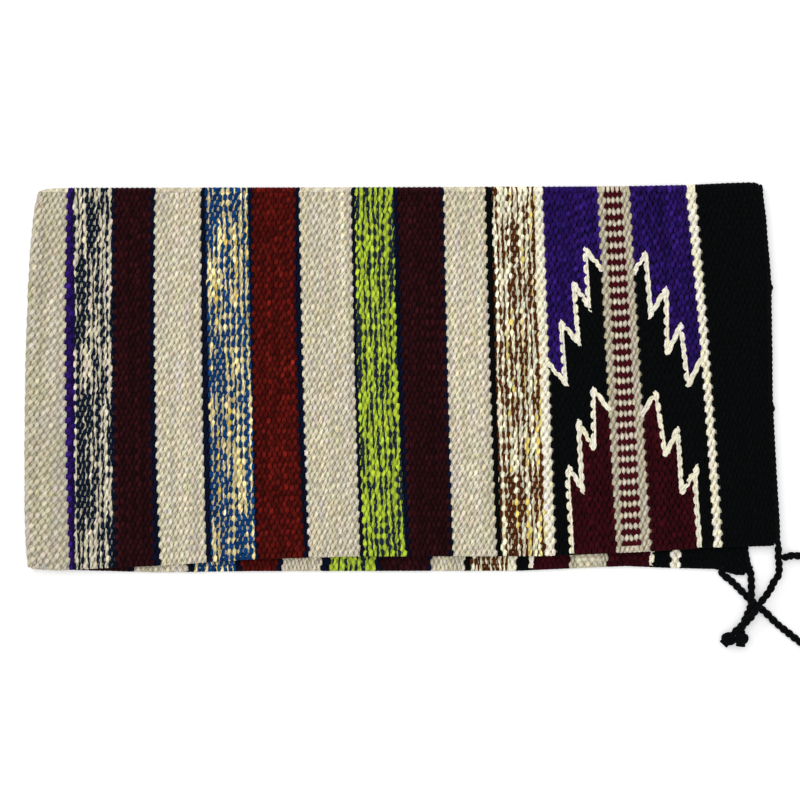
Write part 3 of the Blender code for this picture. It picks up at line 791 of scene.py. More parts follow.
def wool_piece(
    mesh: bpy.types.Mesh, maps: dict, tone: np.ndarray, ply: np.ndarray, finish: WoolFinish,
) -> bpy.types.Object:
    """Dress a mesh in a wool and put it into the scene.

    Args:
        mesh: The mesh, which gives the piece its name.
        maps: Each map's name and its place for every corner.
        tone: Colour of every point.
        ply: Field of the second colour at every point.
        finish: The wool.

    Returns:
        The piece.
    """
    for name, corners in maps.items():
        layer = mesh.uv_layers.new(name=name)
        layer.uv.foreach_set("vector", corners.astype(np.float32).ravel())
    colours = mesh.attributes.new("Tone", "FLOAT_COLOR", "POINT")
    colours.data.foreach_set("color", tone.astype(np.float32).ravel())
    strands = mesh.attributes.new("Ply", "FLOAT", "POINT")
    strands.data.foreach_set("value", ply.astype(np.float32))
    mesh.validate()
    mesh.shade_smooth()
    mesh.materials.append(finish.material())
    piece = placed(mesh.name, mesh)
    return piece


@dataclass
class Yarns:
    """Yarns laid side by side: one row for each yarn, one column for each ring along it."""

    centre: np.ndarray
    side: np.ndarray
    up: np.ndarray
    half_width: np.ndarray
    half_height: np.ndarray
    lift: np.ndarray
    tone: np.ndarray
    shown: np.ndarray
    # crevice: how dark the painted shade in the crevices goes
    crevice_shade: float
    second_tone: np.ndarray | None = None
    reach: float = SWING + CREST_HALF_HEIGHT

    def skin(self, sides: int, ply: np.ndarray) -> tuple[np.ndarray, np.ndarray]:
        """Points of an oval round every ring, and their colours, with painted shade down in the
        crevices.

        A point is its ring's centre, plus the cosine of its angle times the half width along
        the side way, plus the sine of it times the half height along the up way.

        Args:
            sides: Points round a ring.
            ply: Field of the second colour for each yarn, ring and angle.

        Returns:
            The points and the colours.
        """
        shape = self.shown.shape
        angle = ring_angles(sides)
        wide = self.half_width[..., None] * np.cos(angle)
        high = self.half_height[..., None] * np.sin(angle)
        side, up = (np.broadcast_to(way, (*shape, 3))[:, :, None] for way in (self.side, self.up))
        points = self.centre[:, :, None] + wide[..., None] * side + high[..., None] * up
        # painted shade: a point's colour is darker the lower it lies between the yarns, down in the
        # crevices
        height = np.abs(self.lift[..., None] + high) / self.reach
        light = self.crevice_shade + (1 - self.crevice_shade) * smoothstep(*CREVICE_SHADE_SHARES, height)
        other = self.tone if self.second_tone is None else self.second_tone
        colours = np.ones((*shape, sides, 4))
        colours[..., :3] = np.where(ply[..., None] > 0, other[:, :, None], self.tone[:, :, None])
        colours[..., :3] *= light[..., None]
        return points, colours

    def mesh(self, name: str, sides: int, ply: np.ndarray, finish: WoolFinish) -> bpy.types.Object:
        """Carry an oval along every yarn and close each run at both ends.

        A corner is known by its yarn, its ring and its number round the ring, from which its
        point and its place on both maps follow.

        Args:
            name: Name of the piece.
            sides: Points round a ring.
            ply: Field of the second colour for each yarn, ring and angle.
            finish: The wool that the yarns are of.

        Returns:
            The piece, dressed and in place.
        """
        rows, rings = self.shown.shape
        spots = np.stack(np.indices((rows, rings, sides)), -1)
        link = self.shown[:, :-1] & self.shown[:, 1:]
        on = np.array([0, 0, 1])
        here, there = spots[:, :-1], spots[:, 1:]
        quads = np.stack([here, here + on, there + on, there], 3)[link]
        none = np.zeros((rows, 1), dtype=bool)
        begins = np.concatenate([link, none], 1) & ~np.concatenate([none, link], 1)
        ends = np.concatenate([none, link], 1) & ~np.concatenate([link, none], 1)
        caps = np.concatenate([spots[begins][:, ::-1], spots[ends]])
        row, ring, number = np.concatenate([quads.reshape(-1, 3), caps.reshape(-1, 3)]).T
        flat = (row * rings + ring) * sides + number % sides
        used, corners = np.unique(flat, return_inverse=True)
        count = quads.shape[0] * sides
        starts = np.concatenate([4 * np.arange(count), 4 * count + sides * np.arange(len(caps))])

        points, colours = self.skin(sides, ply)
        mesh = bpy.data.meshes.new(name)
        mesh.vertices.add(len(used))
        mesh.loops.add(len(corners))
        mesh.polygons.add(len(starts))
        mesh.vertices.foreach_set("co", points.reshape(-1, 3)[used].astype(np.float32).ravel())
        mesh.loops.foreach_set("vertex_index", corners.astype(np.int32).ravel())
        mesh.polygons.foreach_set("loop_start", starts.astype(np.int32))
        mesh.update(calc_edges=True)

        length = lengths_along(self.centre) + NEXT_YARN * np.arange(rows)[:, None]
        across = (row + ROW_MARGIN + (1 - 2 * ROW_MARGIN) * number / sides) / rows
        maps = {
            "OFBake": np.stack([(ring + RING_MARGIN) / (rings - 2 * RING_MARGIN), across], -1),
            "Yarn": np.stack([number / sides, length[row, ring]], -1),
        }
        return wool_piece(mesh, maps, colours.reshape(-1, 4)[used], ply.reshape(-1)[used], finish)


@dataclass
class Layer:
    """One layer of the folded cloth: the lines that its bands follow and where it lies."""

    name: str
    body: str
    middle: float
    upward: float
    depth: float
    edge_shares: tuple
    end_warps: float
    free_widths: np.ndarray
    right_bow: float
    right_bow_shares: tuple
    sways: np.ndarray
    rings_per_warp: int
    sides: int
    plain_end: float
    left_flare: float = 0.0121
    left_bow: float = 0.0102
    root_reach: float = 0.997
    end_length: float = 0.02
    end_thinning: float = 0.5
    fold_lines: np.ndarray = field(init=False)
    free_lines: np.ndarray = field(init=False)

    def __post_init__(self) -> None:
        """Add up the widths into the lines between the bands."""
        fold = [band.fold_width for band in BANDS]
        self.fold_lines = np.concatenate([[0], np.cumsum(fold)])
        self.free_lines = np.concatenate([[0], np.cumsum(self.free_widths)]) - self.left_flare

    def seed(self, first: int, number: int) -> int:
        """The seed of a band's random draws, from the first seed of such draws."""
        return first + number + (BACK_SEEDS if self.upward < 0 else 0)

    def line(self, number: int, down: np.ndarray | float, swayed: bool = True) -> np.ndarray:
        """World X of a line between bands at shares of the depth from the fold.

        It runs straight from its place on the fold to that on the free edge.  To this a side
        adds its bow, and an inner line four times its sway, times the share, times the rest.

        Args:
            number: Which line, 0 at the left side.
            down: Shares of the depth from the fold.
            swayed: Whether the line bows in its middle as the woven one does.

        Returns:
            The line's X at each share.
        """
        fold, free = self.fold_lines[number], self.free_lines[number]
        x = fold + (free - fold) * down
        if number == 0:
            x = x - self.left_bow * along(LEFT_BOW_SHARES, down)
        elif number == len(BANDS):
            x = x + self.right_bow * along(self.right_bow_shares, down)
        elif swayed:
            x = x + self.sways[number] * 4 * down * (1 - np.minimum(down, 1))
        return x - MIDDLE_X

    def across(self, x: np.ndarray, down: np.ndarray | float) -> np.ndarray:
        """Shares across the layer: the way from its left side, over its width there.

        Args:
            x: World X of the places.
            down: Their shares of the depth.

        Returns:
            The share across of each place.
        """
        left, right = self.line(0, down), self.line(len(BANDS), down)
        return (x - left) / (right - left)

    def edge(self, across: np.ndarray | float) -> np.ndarray:
        """Share of the depth that the free edge reaches at shares across the layer."""
        return along(self.edge_shares, across)

    def corner(self) -> np.ndarray:
        """Where the tie cords are rooted, at the layer's right free corner.

        Returns:
            World X and Y of the corner, and no height.
        """
        reach = min(float(self.edge(1.0)), self.root_reach)
        x = float(self.line(len(BANDS), reach)) + EDGE_CORD_OFFSET
        return np.array([x, FOLD_Y - self.depth * reach, 0.0])

    def passed(self, across: np.ndarray, part: np.ndarray) -> np.ndarray:
        """Warps that a weft has passed, evenly from the fold's warp to the free edge's last.

        Args:
            across: Shares across the fold.
            part: Parts of the way from the fold to the free edge.

        Returns:
            The warps at each place.
        """
        start = self.upward * first_warp(across)
        return start + (self.end_warps - start) * part

    def warps(self) -> np.ndarray:
        """Places of the rings in warps from the fold, with one ring past the last turn."""
        even = np.linspace(0, WARPS, int(WARPS * self.rings_per_warp) + 1)
        return np.concatenate([even, [WARPS + PAST_LAST_WARP]])

    def reach(self, number: int, share: np.ndarray) -> np.ndarray:
        """How far down the picks of a band go, with the layer's corners rounded off.

        It is the free edge's share, less the corner's cut, plus the hem's fullness.  The cut is
        the corner's radius less the root of its square less the bite's square, and the bite is
        by how much less than the radius a pick lies from the layer's side.

        Args:
            number: Which band.
            share: Where its picks lie across it.

        Returns:
            The share of the depth that each pick reaches.
        """
        left, right = self.line(number, 1.0), self.line(number + 1, 1.0)
        across = self.across(left + (right - left) * share, 1.0)
        width = self.line(len(BANDS), 1.0) - self.line(0, 1.0)
        bite = np.clip(CORNER_RADIUS - np.minimum(across, 1 - across) * width, 0, CORNER_RADIUS)
        cut = CORNER_RADIUS - np.sqrt(CORNER_RADIUS ** 2 - bite ** 2)
        return self.edge(across) - cut / self.depth + HEM_FULLNESS / self.depth

    @staticmethod
    def rim(number: int) -> list[int]:
        """The pick of a band that is a side of the cloth, where it has one."""
        return {0: [0], len(BANDS) - 1: [BANDS[-1].picks - 1]}.get(number, [])

    def lay(self, number: int, rng: np.random.Generator) -> Yarns:
        """Lay the weft yarns of one band, each over and under the warps in turn.

        A weft's height is the swing times a flattened cosine of half a turn for each warp, and
        each weft is half a period on from its neighbour.  It is widest on its crests.

        Args:
            number: Which band.
            rng: The seeded source of small irregularities.

        Returns:
            The band's yarns.
        """
        band = BANDS[number]
        finish = FINISHES[band.wool]
        picks = np.arange(band.picks)
        warps = self.warps()
        share = (picks + 0.5 + rng.uniform(-HAND.place, HAND.place, band.picks)) / band.picks
        down = self.reach(number, share)[:, None] * warps / WARPS

        shift = HAND.step_together.noise(rng, 1, warps)
        shift = shift + HAND.step_alone.noise(rng, band.picks, warps)
        shift = shift + HAND.step_offset * rng.normal(size=(band.picks, 1))
        shift = shift * smoothstep(0, HAND.steady_at_fold, warps)
        shift = shift * smoothstep(WARPS, WARPS - HAND.steady_at_hem, warps)
        folded = (self.fold_lines[number] + band.fold_width * share) / self.fold_lines[-1]
        passed = self.passed(folded[:, None], warps / WARPS)
        phase = math.pi * (passed + shift + (FIRST_PICKS[number] + picks)[:, None])
        wave = np.cos(phase)
        crest = np.abs(wave)
        lift = weft_height(wave)

        left, right = self.line(number, down), self.line(number + 1, down)
        pitch = (right - left) / band.picks
        lean = HAND.lean + HAND.lean_spread * rng.normal(size=(band.picks, 1))
        x = left + (right - left) * share[:, None] - lean * np.sin(phase)
        x = x + HAND.sway.noise(rng, band.picks, warps)
        y = FOLD_Y - self.depth * down - FOLD_SEAM * (1 - warps / WARPS)
        z = self.middle + self.upward * lift

        plump = 1 + HAND.plumpness * rng.normal(size=(band.picks, 1))
        plump = plump + HAND.swell.noise(rng, band.picks, warps)
        end = smoothstep(WARPS - self.end_length, WARPS + PAST_LAST_WARP, warps)
        end = 1 - self.end_thinning * end
        half_width = pitch * finish.width(crest)
        half_width = half_width * np.clip(plump, 1 - HAND.most_swell, 1 + HAND.most_swell) * end
        half_height = weft_half_height(crest) * end
        if finish.plying is Plying.PICK_BY_PICK:
            fuller = np.where(picks % 2, 1 - finish.first_swell, 1 + finish.first_swell)[:, None]
            half_width = half_width * fuller
            half_height = half_height * (1 + fuller) / 2
        rim = self.rim(number)
        half_width[rim] = pitch[rim] * (RIM_WIDTH + RIM_CREST_WIDTH * crest[rim]) * end
        z[rim] = self.middle + RIM_SWING * (z[rim] - self.middle)
        half_height[rim] *= RIM_HEIGHT
        yarns = Yarns(
            centre=np.stack([x, y, z], -1), side=np.array([1.0, 0, 0]), up=np.array([0, 0, 1.0]),
            half_width=half_width, half_height=half_height, lift=self.upward * lift,
            tone=finish.tones(rng, band.picks, warps) * band.shade,
            shown=np.ones(x.shape, dtype=bool), crevice_shade=finish.crevice_shade,
        )
        if finish.gold_share:
            yarns.second_tone = yarns.tone * finish.gilding(rng, band.picks, warps)
        return yarns

    def colour(self, number: int, angles: np.ndarray) -> np.ndarray:
        """Where the second colour of a band shows, with the picks that are wholly of it.

        Args:
            number: Which band.
            angles: Angles round a yarn.

        Returns:
            A field for each yarn, ring and angle, positive where it shows.
        """
        band = BANDS[number]
        finish = FINISHES[band.wool]
        rng = np.random.default_rng(self.seed(COLOUR_SEED, number))
        ply = finish.plies(rng, band.picks, self.warps(), angles)
        ply[list(band.other_picks)] = 1.0
        if finish.plying is Plying.PICK_BY_PICK:
            ply[:, self.warps() > WARPS - self.plain_end] = 1.0
        return ply

    def weave(self, number: int) -> bpy.types.Object:
        """Weave one plain, marled or checked band of the layer.

        Args:
            number: Which band.

        Returns:
            The band's piece, riding on the layer's body.
        """
        band = BANDS[number]
        finish = FINISHES[band.wool]
        yarns = self.lay(number, np.random.default_rng(self.seed(YARN_SEED, number)))
        sides = self.sides + (1 if finish.plying is Plying.MARLED else 0)
        ply = self.colour(number, ring_angles(sides))
        piece = yarns.mesh(f"{self.name}_{band.name}_weave", sides, ply, finish)
        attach(piece, self.body)
        node = band.name if self.upward > 0 else band.back_node or band.name
        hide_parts(f"{self.name}_{node}")
        LOG.info("%s: %d picks, %d faces", piece.name, band.picks, len(piece.data.polygons))
        return piece


@dataclass(frozen=True)
class LegEnds:
    """How a leg of a zigzag ends: drawn out how far above and below, and thinned over what."""

    above: float
    below: float
    upper_point: float
    lower_point: float


STEEP_LEG = LegEnds(above=0.0031, below=0.0012, upper_point=0.0056, lower_point=0.0030)
SLANTING_LEG = LegEnds(above=0.0012, below=0.0071, upper_point=0.0030, lower_point=0.0060)
LEAST_RUN = 1e-9
MOTIF_FIELDS = (
    ("upper_field", Wool.PURPLE), ("middle_field", Wool.BLACK), ("lower_field", Wool.BURGUNDY),
)


@dataclass
class StepPanel:
    """One panel of the stepped motif: three fields of ground parted by two zigzag outlines."""

    layer: Layer
    number: int
    upper: tuple
    lower: tuple
    pressed: float = 0.25
    flattened: float = 0.6
    press_near: float = 0.0012
    press_far: float = 0.0036
    sharp_turn: float = 0.9
    steepness: float = 1.8
    outline_rings: int = 120
    outline_pitch: float = 0.0031
    outline_margin: float = 0.0016
    tone_warps: float = 12.0
    closing: float = 0.05
    spread: float = 0.00030
    wave_height: float = 0.00046
    rise: float = 0.00010
    swell: Wander = Wander(1.3, 0.06)
    blunt_length: float = 0.0016
    blunt_size: float = 0.3
    point_size: float = 0.34
    point_height: float = 0.85
    shade: float = 0.93
    strand_half_width: float = 0.00200
    strand_half_height: float = 0.00265
    crest_width: tuple = (0.93, 0.10)
    crest_flattening: float = 0.0002

    def zigzag(self, shares: tuple) -> np.ndarray:
        """World X and Y of a zigzag that is given in shares of the panel.

        X lies by its share between the panel's two lines, and Y by its share of the depth.

        Args:
            shares: Rows of share across the panel and share down the layer.

        Returns:
            One row of X and Y for each of them.
        """
        across, down = np.array(shares).T
        left = self.layer.line(self.number, down, swayed=False)
        right = self.layer.line(self.number + 1, down, swayed=False)
        return np.stack([left + (right - left) * across, FOLD_Y - self.layer.depth * down], -1)

    @staticmethod
    def crossings(x: np.ndarray, y: np.ndarray, line: np.ndarray) -> np.ndarray:
        """How often a line is met on the way from each point to the fold.

        A leg is met where the point's X lies between those of its ends, and where the leg's own
        Y there, its first end's plus its slope times the way along X, is the greater.

        Args:
            x: X of the points.
            y: Y of the points.
            line: Rows of X and Y.

        Returns:
            The count at each point.
        """
        first, second = line[:-1], line[1:]
        run = second[:, 0] - first[:, 0]
        run = np.where(np.abs(run) < LEAST_RUN, LEAST_RUN, run)
        slope = (second[:, 1] - first[:, 1]) / run
        low = np.minimum(first[:, 0], second[:, 0])
        high = np.maximum(first[:, 0], second[:, 0])
        inside = (x[..., None] >= low) & (x[..., None] < high)
        height = first[:, 1] + (x[..., None] - first[:, 0]) * slope
        return (inside & (height > y[..., None])).sum(-1)

    @staticmethod
    def distance(x: np.ndarray, y: np.ndarray, line: np.ndarray) -> np.ndarray:
        """Least distance from each point to a line of straight legs.

        The nearest place on a leg lies at the share that the point's way from its first end has
        along it, their product over the leg's square, kept between 0 and 1.

        Args:
            x: X of the points.
            y: Y of the points.
            line: Rows of X and Y.

        Returns:
            The distance at each point.
        """
        first, leg = line[:-1], np.diff(line, axis=0)
        away_x = x[..., None] - first[:, 0]
        away_y = y[..., None] - first[:, 1]
        share = (away_x * leg[:, 0] + away_y * leg[:, 1]) / (leg ** 2).sum(1)
        share = np.clip(share, 0, 1)
        return np.hypot(away_x - share * leg[:, 0], away_y - share * leg[:, 1]).min(-1)

    def fields(self, seed: int) -> list[bpy.types.Object]:
        """Weave the ground of the panel's three fields, pressed down beside the outlines.

        A yarn's swing and height are multiplied by a share that rises softly with its distance
        from the nearer outline.  The lower field is where the lower outline is met an odd number
        of times on the way to the fold, and the middle one where only the upper outline is.

        Args:
            seed: Seed of the irregularities.

        Returns:
            One piece for each field.
        """
        layer, band = self.layer, BANDS[self.number]
        upper, lower = self.zigzag(self.upper), self.zigzag(self.lower)
        pieces = []
        for zone, (label, wool) in enumerate(MOTIF_FIELDS):
            rng = np.random.default_rng(seed)
            yarns = layer.lay(self.number, rng)
            finish = FINISHES[wool]
            x, y, z = np.moveaxis(yarns.centre, -1, 0)
            below_upper = self.crossings(x, y, upper) % 2 == 1
            below_lower = self.crossings(x, y, lower) % 2 == 1
            near = np.minimum(self.distance(x, y, upper), self.distance(x, y, lower))
            free = smoothstep(self.press_near, self.press_far, near)
            free = self.pressed + (1 - self.pressed) * free
            yarns.centre[..., 2] = layer.middle + (z - layer.middle) * free
            yarns.lift = yarns.lift * free
            yarns.half_height = yarns.half_height * (self.flattened + (1 - self.flattened) * free)
            yarns.tone = finish.tones(rng, band.picks, layer.warps())
            yarns.crevice_shade = finish.crevice_shade
            yarns.shown = np.where(below_lower, 2, np.where(below_upper, 1, 0)) == zone
            ply = finish.plies(rng, band.picks, layer.warps(), ring_angles(layer.sides))
            piece = yarns.mesh(f"{layer.name}_{band.name}_{label}_weave", layer.sides, ply, finish)
            self.attach(piece, label)
            pieces.append(piece)
        return pieces

    def attach(self, piece: bpy.types.Object, label: str) -> None:
        """Let a piece of the panel ride on its layer and stand for its solid.

        Args:
            piece: The piece.
            label: Which field or outline of the panel it is.
        """
        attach(piece, self.layer.body)
        if self.layer.upward > 0:
            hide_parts(f"{self.layer.name}_{BANDS[self.number].name}_{label}")
        else:
            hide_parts("back_stepped_motif_field")
        LOG.info("%s: %d faces", piece.name, len(piece.data.polygons))

    def legs(self, line: np.ndarray) -> list[np.ndarray]:
        """Part a zigzag at its sharp turns into legs that all run away from the fold.

        Args:
            line: World X and Y of the zigzag.

        Returns:
            The points of each leg.
        """
        step = np.diff(line, axis=0)
        heading = np.arctan2(step[:, 1], step[:, 0])
        turns = np.abs((np.diff(heading) + math.pi) % (2 * math.pi) - math.pi)
        cuts = [0, *(np.nonzero(turns > self.sharp_turn)[0] + 1), len(line) - 1]
        legs = [line[first:last + 1] for first, last in zip(cuts, cuts[1:])]
        return [leg[::-1] if leg[0, 1] < leg[-1, 1] else leg for leg in legs]

    def strands(self, leg: np.ndarray, rng: np.random.Generator) -> list[tuple]:
        """Lay the two yarns of one leg side by side, half a period apart.

        A steep leg is drawn out to a point above its upper tip, a slanting one below its lower
        tip.  Their height is a low wave in step with the ground's.  Each lies half the outline's
        pitch to its own side, nearer at a point, and goes out and in with its wave.

        Args:
            leg: World X and Y of the leg.
            rng: The seeded source of the irregularities.

        Returns:
            Each yarn's centre, side way, half width, half height, lift and whether it is shown.
        """
        layer = self.layer
        direction = leg[-1] - leg[0]
        steep = abs(direction[1]) > self.steepness * abs(direction[0])
        ends = STEEP_LEG if steep else SLANTING_LEG
        first = leg[0] - unit(leg[1] - leg[0]) * ends.above
        last = leg[-1] + unit(leg[-1] - leg[-2]) * ends.below
        leg = np.concatenate([[first], leg, [last]])
        lengths = lengths_along(leg)
        at = np.linspace(0, lengths[-1], self.outline_rings)
        ahead = lengths[-1] - at
        x, y = (np.interp(at, lengths, leg[:, axis]) for axis in (0, 1))
        tangent = unit(np.stack([np.gradient(x), np.gradient(y)], -1))
        side = np.stack([-tangent[:, 1], tangent[:, 0], np.zeros(len(at))], -1)

        down = (FOLD_Y - y) / layer.depth
        reach = layer.edge(layer.across(x, 1.0))
        inside = x > layer.line(self.number, down) - self.outline_margin
        inside &= x < layer.line(self.number + 1, down) + self.outline_margin
        inside &= down < reach
        passed = layer.passed(layer.across(x, down), down / reach)
        point = smoothstep(0, ends.upper_point, at) * smoothstep(0, ends.lower_point, ahead)
        size = self.point_size + (1 - self.point_size) * point
        blunt = 1 - (1 - np.clip(np.minimum(at, ahead) / self.blunt_length, 0, 1)) ** 2
        blunt = self.blunt_size + (1 - self.blunt_size) * np.sqrt(blunt)
        yarns = []
        for strand in (0, 1):
            wave = np.cos(math.pi * (passed + strand + self.number + 1))
            crest = np.abs(wave)
            apart = self.closing + (1 - self.closing) * point
            offset = (strand - 0.5) * self.outline_pitch * apart
            offset = offset + self.spread * point * wave * (1 if strand else -1)
            lift = layer.upward * (self.wave_height * wave + layer.upward * self.rise)
            swell = 1 + self.swell.noise(rng, 1, at / BEAD_LENGTH)[0]
            width = self.strand_half_width * (self.crest_width[0] + self.crest_width[1] * crest)
            height = self.strand_half_height - self.crest_flattening * crest
            height = height * (self.point_height + (1 - self.point_height) * point)
            centre = [x + side[:, 0] * offset, y + side[:, 1] * offset, layer.middle + lift]
            width = width * size * swell * blunt
            yarns.append((np.stack(centre, -1), side, width, height * blunt, lift, inside))
        return yarns

    def outline(self, line: np.ndarray, label: str, seed: int) -> bpy.types.Object:
        """Lay the two yarns of one zigzag outline, leg by leg.

        Args:
            line: World X and Y of the zigzag.
            label: Which outline it is.
            seed: Seed of the irregularities.

        Returns:
            The outline's piece.
        """
        layer, finish = self.layer, FINISHES[Wool.CREAM]
        rng = np.random.default_rng(seed)
        yarns = [yarn for leg in self.legs(line) for yarn in self.strands(leg, rng)]
        centre, side, width, height, lift, shown = (np.array(part) for part in zip(*yarns))
        places = np.linspace(0, self.tone_warps, self.outline_rings)
        laid = Yarns(
            centre=centre, side=side, up=np.array([0, 0, 1.0]), half_width=width,
            half_height=height, lift=lift, tone=finish.tones(rng, len(yarns), places) * self.shade,
            shown=shown, crevice_shade=finish.crevice_shade,
        )
        sides = layer.sides + 1
        ply = np.full((*shown.shape, sides), -1.0)
        name = f"{layer.name}_{BANDS[self.number].name}_{label}_weave"
        piece = laid.mesh(name, sides, ply, finish)
        self.attach(piece, label)
        return piece

    def build(self) -> list[bpy.types.Object]:
        """Weave the three fields and lay both outlines of the panel.

        Returns:
            The five pieces.
        """
        seed = self.layer.seed(PANEL_SEED, self.number)
        pieces = self.fields(seed)
        lines = (("upper_outline", self.upper), ("lower_outline", self.lower))
        for number, (label, shares) in enumerate(lines):
            pieces.append(self.outline(self.zigzag(shares), label, seed + OUTLINE_SEEDS + number))
        return pieces


@dataclass
class FoldTurn:
    """The turn of the cloth at the fold, one piece for each wool."""

    front: Layer
    back: Layer
    turn_warps: float = 2.0
    rings: int = 13
    sides: int = 6
    half_height: float = 0.0034
    bend_low: float = 0.0045
    bend_high: float = 0.0088
    cord_width: float = 0.0065
    least_depth: float = 0.0006
    least_room: float = 0.45
    apex_power: float = 1.5
    apex_flattening: float = 0.80
    widths: tuple = (0.70, 0.08, 0.10)

    def bulge(self, x: np.ndarray) -> np.ndarray:
        """How far the turn stands beyond the hinge line: the most it does, times X's share."""
        width = self.front.fold_lines[-1] + self.cord_width
        return FOLD_BULGE * along(FOLD_BULGE_SHARES, (x + MIDDLE_X) / width)

    def depth(self, x: np.ndarray) -> np.ndarray:
        """How far the cloth's middle stands beyond that line: the bulge less half the cloth."""
        return np.maximum(self.bulge(x) - CLOTH_THICKNESS / 2, self.least_depth)

    def arc(self, x: np.ndarray, share: np.ndarray) -> tuple[np.ndarray, np.ndarray]:
        """Middle line and outward way of the turn, a half ellipse round the hinge line.

        A point lies the depth times the cosine beyond the line and the half height times the
        sine above it.  Its outward way is the half height times the cosine, and the depth times
        the sine, made a unit.

        Args:
            x: X of each yarn.
            share: Places on the turn, 0 at the back layer and 1 at the front one.

        Returns:
            The points and the outward directions, one row for each yarn.
        """
        deep = self.depth(x)[:, None]
        x, angle = np.broadcast_arrays(x[:, None], math.pi * (share - 0.5))
        points = np.stack([
            x, FOLD_Y + deep * np.cos(angle), HINGE_HEIGHT + self.half_height * np.sin(angle),
        ], -1)
        outward = np.stack([
            np.zeros(x.shape), np.cos(angle) * self.half_height, np.sin(angle) * deep,
        ], -1)
        return points, unit(outward)

    def blend(self, piece: bpy.types.Object) -> None:
        """Bake the place of a piece that crosses the fold into its mesh.

        Args:
            piece: The piece.
        """
        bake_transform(piece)

    def attach(self, piece: bpy.types.Object) -> None:
        """Bake a piece of the turn in place and let it stand for its solid.

        Args:
            piece: The piece.
        """
        self.blend(piece)
        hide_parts("fold_roll")
        LOG.info("%s: %d faces", piece.name, len(piece.data.polygons))

    def weave(self, wool: Wool) -> bpy.types.Object:
        """Carry every weft of one wool round the fold, over two more warps.

        Its height over the arc is the weft's own, flattened towards the apex by a power of a
        sine, plus the fold's crown there.  Its colours pass from those of the back layer to
        those of the front one.

        Args:
            wool: Which wool.

        Returns:
            The piece of the turn in that wool.
        """
        finish = FINISHES[wool]
        share = np.linspace(0, 1, self.rings)
        angles = ring_angles(self.sides)
        lines = self.front.fold_lines
        parts = []
        for number, band in enumerate(BANDS):
            if band.wool is not wool:
                continue
            left, right = lines[number:number + 2] - MIDDLE_X
            picks = np.arange(band.picks)
            x = left + (right - left) * (picks + 0.5) / band.picks
            phase = FIRST_PICKS[number] + picks + first_warp((x + MIDDLE_X) / lines[-1])
            before = self.back.colour(number, -angles)[:, :1]
            after = self.front.colour(number, angles)[:, :1]
            ply = before + (after - before) * share[None, :, None]
            parts.append((x, phase, np.full(band.picks, (right - left) / band.picks), ply))
        x, phase, pitch, ply = (np.concatenate(part) for part in zip(*parts))
        points, outward = self.arc(x, share)
        wave = np.cos(math.pi * (self.turn_warps * share + phase[:, None]))
        crest = np.abs(wave)
        apex = np.sin(math.pi * share) ** self.apex_power
        room = (self.bulge(x) - self.depth(x))[:, None] / (CLOTH_THICKNESS / 2)
        room = np.clip(room, self.least_room, 1)
        lift = weft_height(wave) * (1 - self.apex_flattening * apex) + FOLD_CROWN * apex * room
        plain, crest_gain, apex_gain = self.widths
        rng = np.random.default_rng(TURN_SEED + list(Wool).index(wool))
        # painted shade: the turn's crevices get half as dark as the wool's own
        yarns = Yarns(
            centre=points + outward * lift[..., None], side=np.array([1.0, 0, 0]), up=outward,
            half_width=pitch[:, None] * (plain + crest_gain * crest + apex_gain * apex),
            half_height=weft_half_height(crest) * (1 - apex * (1 - room)),
            lift=lift, tone=finish.tones(rng, len(x), self.turn_warps * share),
            shown=np.ones(lift.shape, dtype=bool), crevice_shade=(1 + finish.crevice_shade) / 2,
        )
        piece = yarns.mesh(f"fold_turn_{wool.value}_weave", self.sides, ply, finish)
        self.attach(piece)
        return piece


def ways(path: np.ndarray) -> tuple[np.ndarray, np.ndarray]:
    """Side and up ways along a path: up crossed with the tangent, then tangent with that.

    Args:
        path: Points along the path.

    Returns:
        The side and the up direction at each point.
    """
    tangent = unit(np.gradient(path, axis=0))
    side = unit(np.cross(np.array([0, 0, 1.0]), tangent))
    return side, np.cross(tangent, side)


def even_path(points: np.ndarray, spacing: float, steps: int = 24) -> np.ndarray:
    """Points at an even spacing on a smooth curve that passes through a route's points.

    Between two of its points the curve is the cubic whose slope at each is half the way from
    the point before to the point after.

    Args:
        points: The route's own points.
        spacing: How far apart the points of the path are.
        steps: How finely the curve is followed between two points.

    Returns:
        The points of the path.
    """
    ends = np.concatenate([[2 * points[0] - points[1]], points, [2 * points[-1] - points[-2]]])
    a, b, c, d = (ends[at:len(ends) - 3 + at, None, :] for at in range(4))
    t = (np.arange(steps) / steps)[None, :, None]
    cubic = (
        b * 2 + (c - a) * t + (a * 2 - b * 5 + c * 4 - d) * t ** 2
        + (b * 3 - a - c * 3 + d) * t ** 3
    ) / 2
    fine = np.concatenate([cubic.reshape(-1, 3), points[-1:]])
    lengths = lengths_along(fine)
    wanted = np.linspace(0, lengths[-1], max(2, round(lengths[-1] / spacing)) + 1)
    return np.stack([np.interp(wanted, lengths, fine[:, axis]) for axis in range(3)], -1)


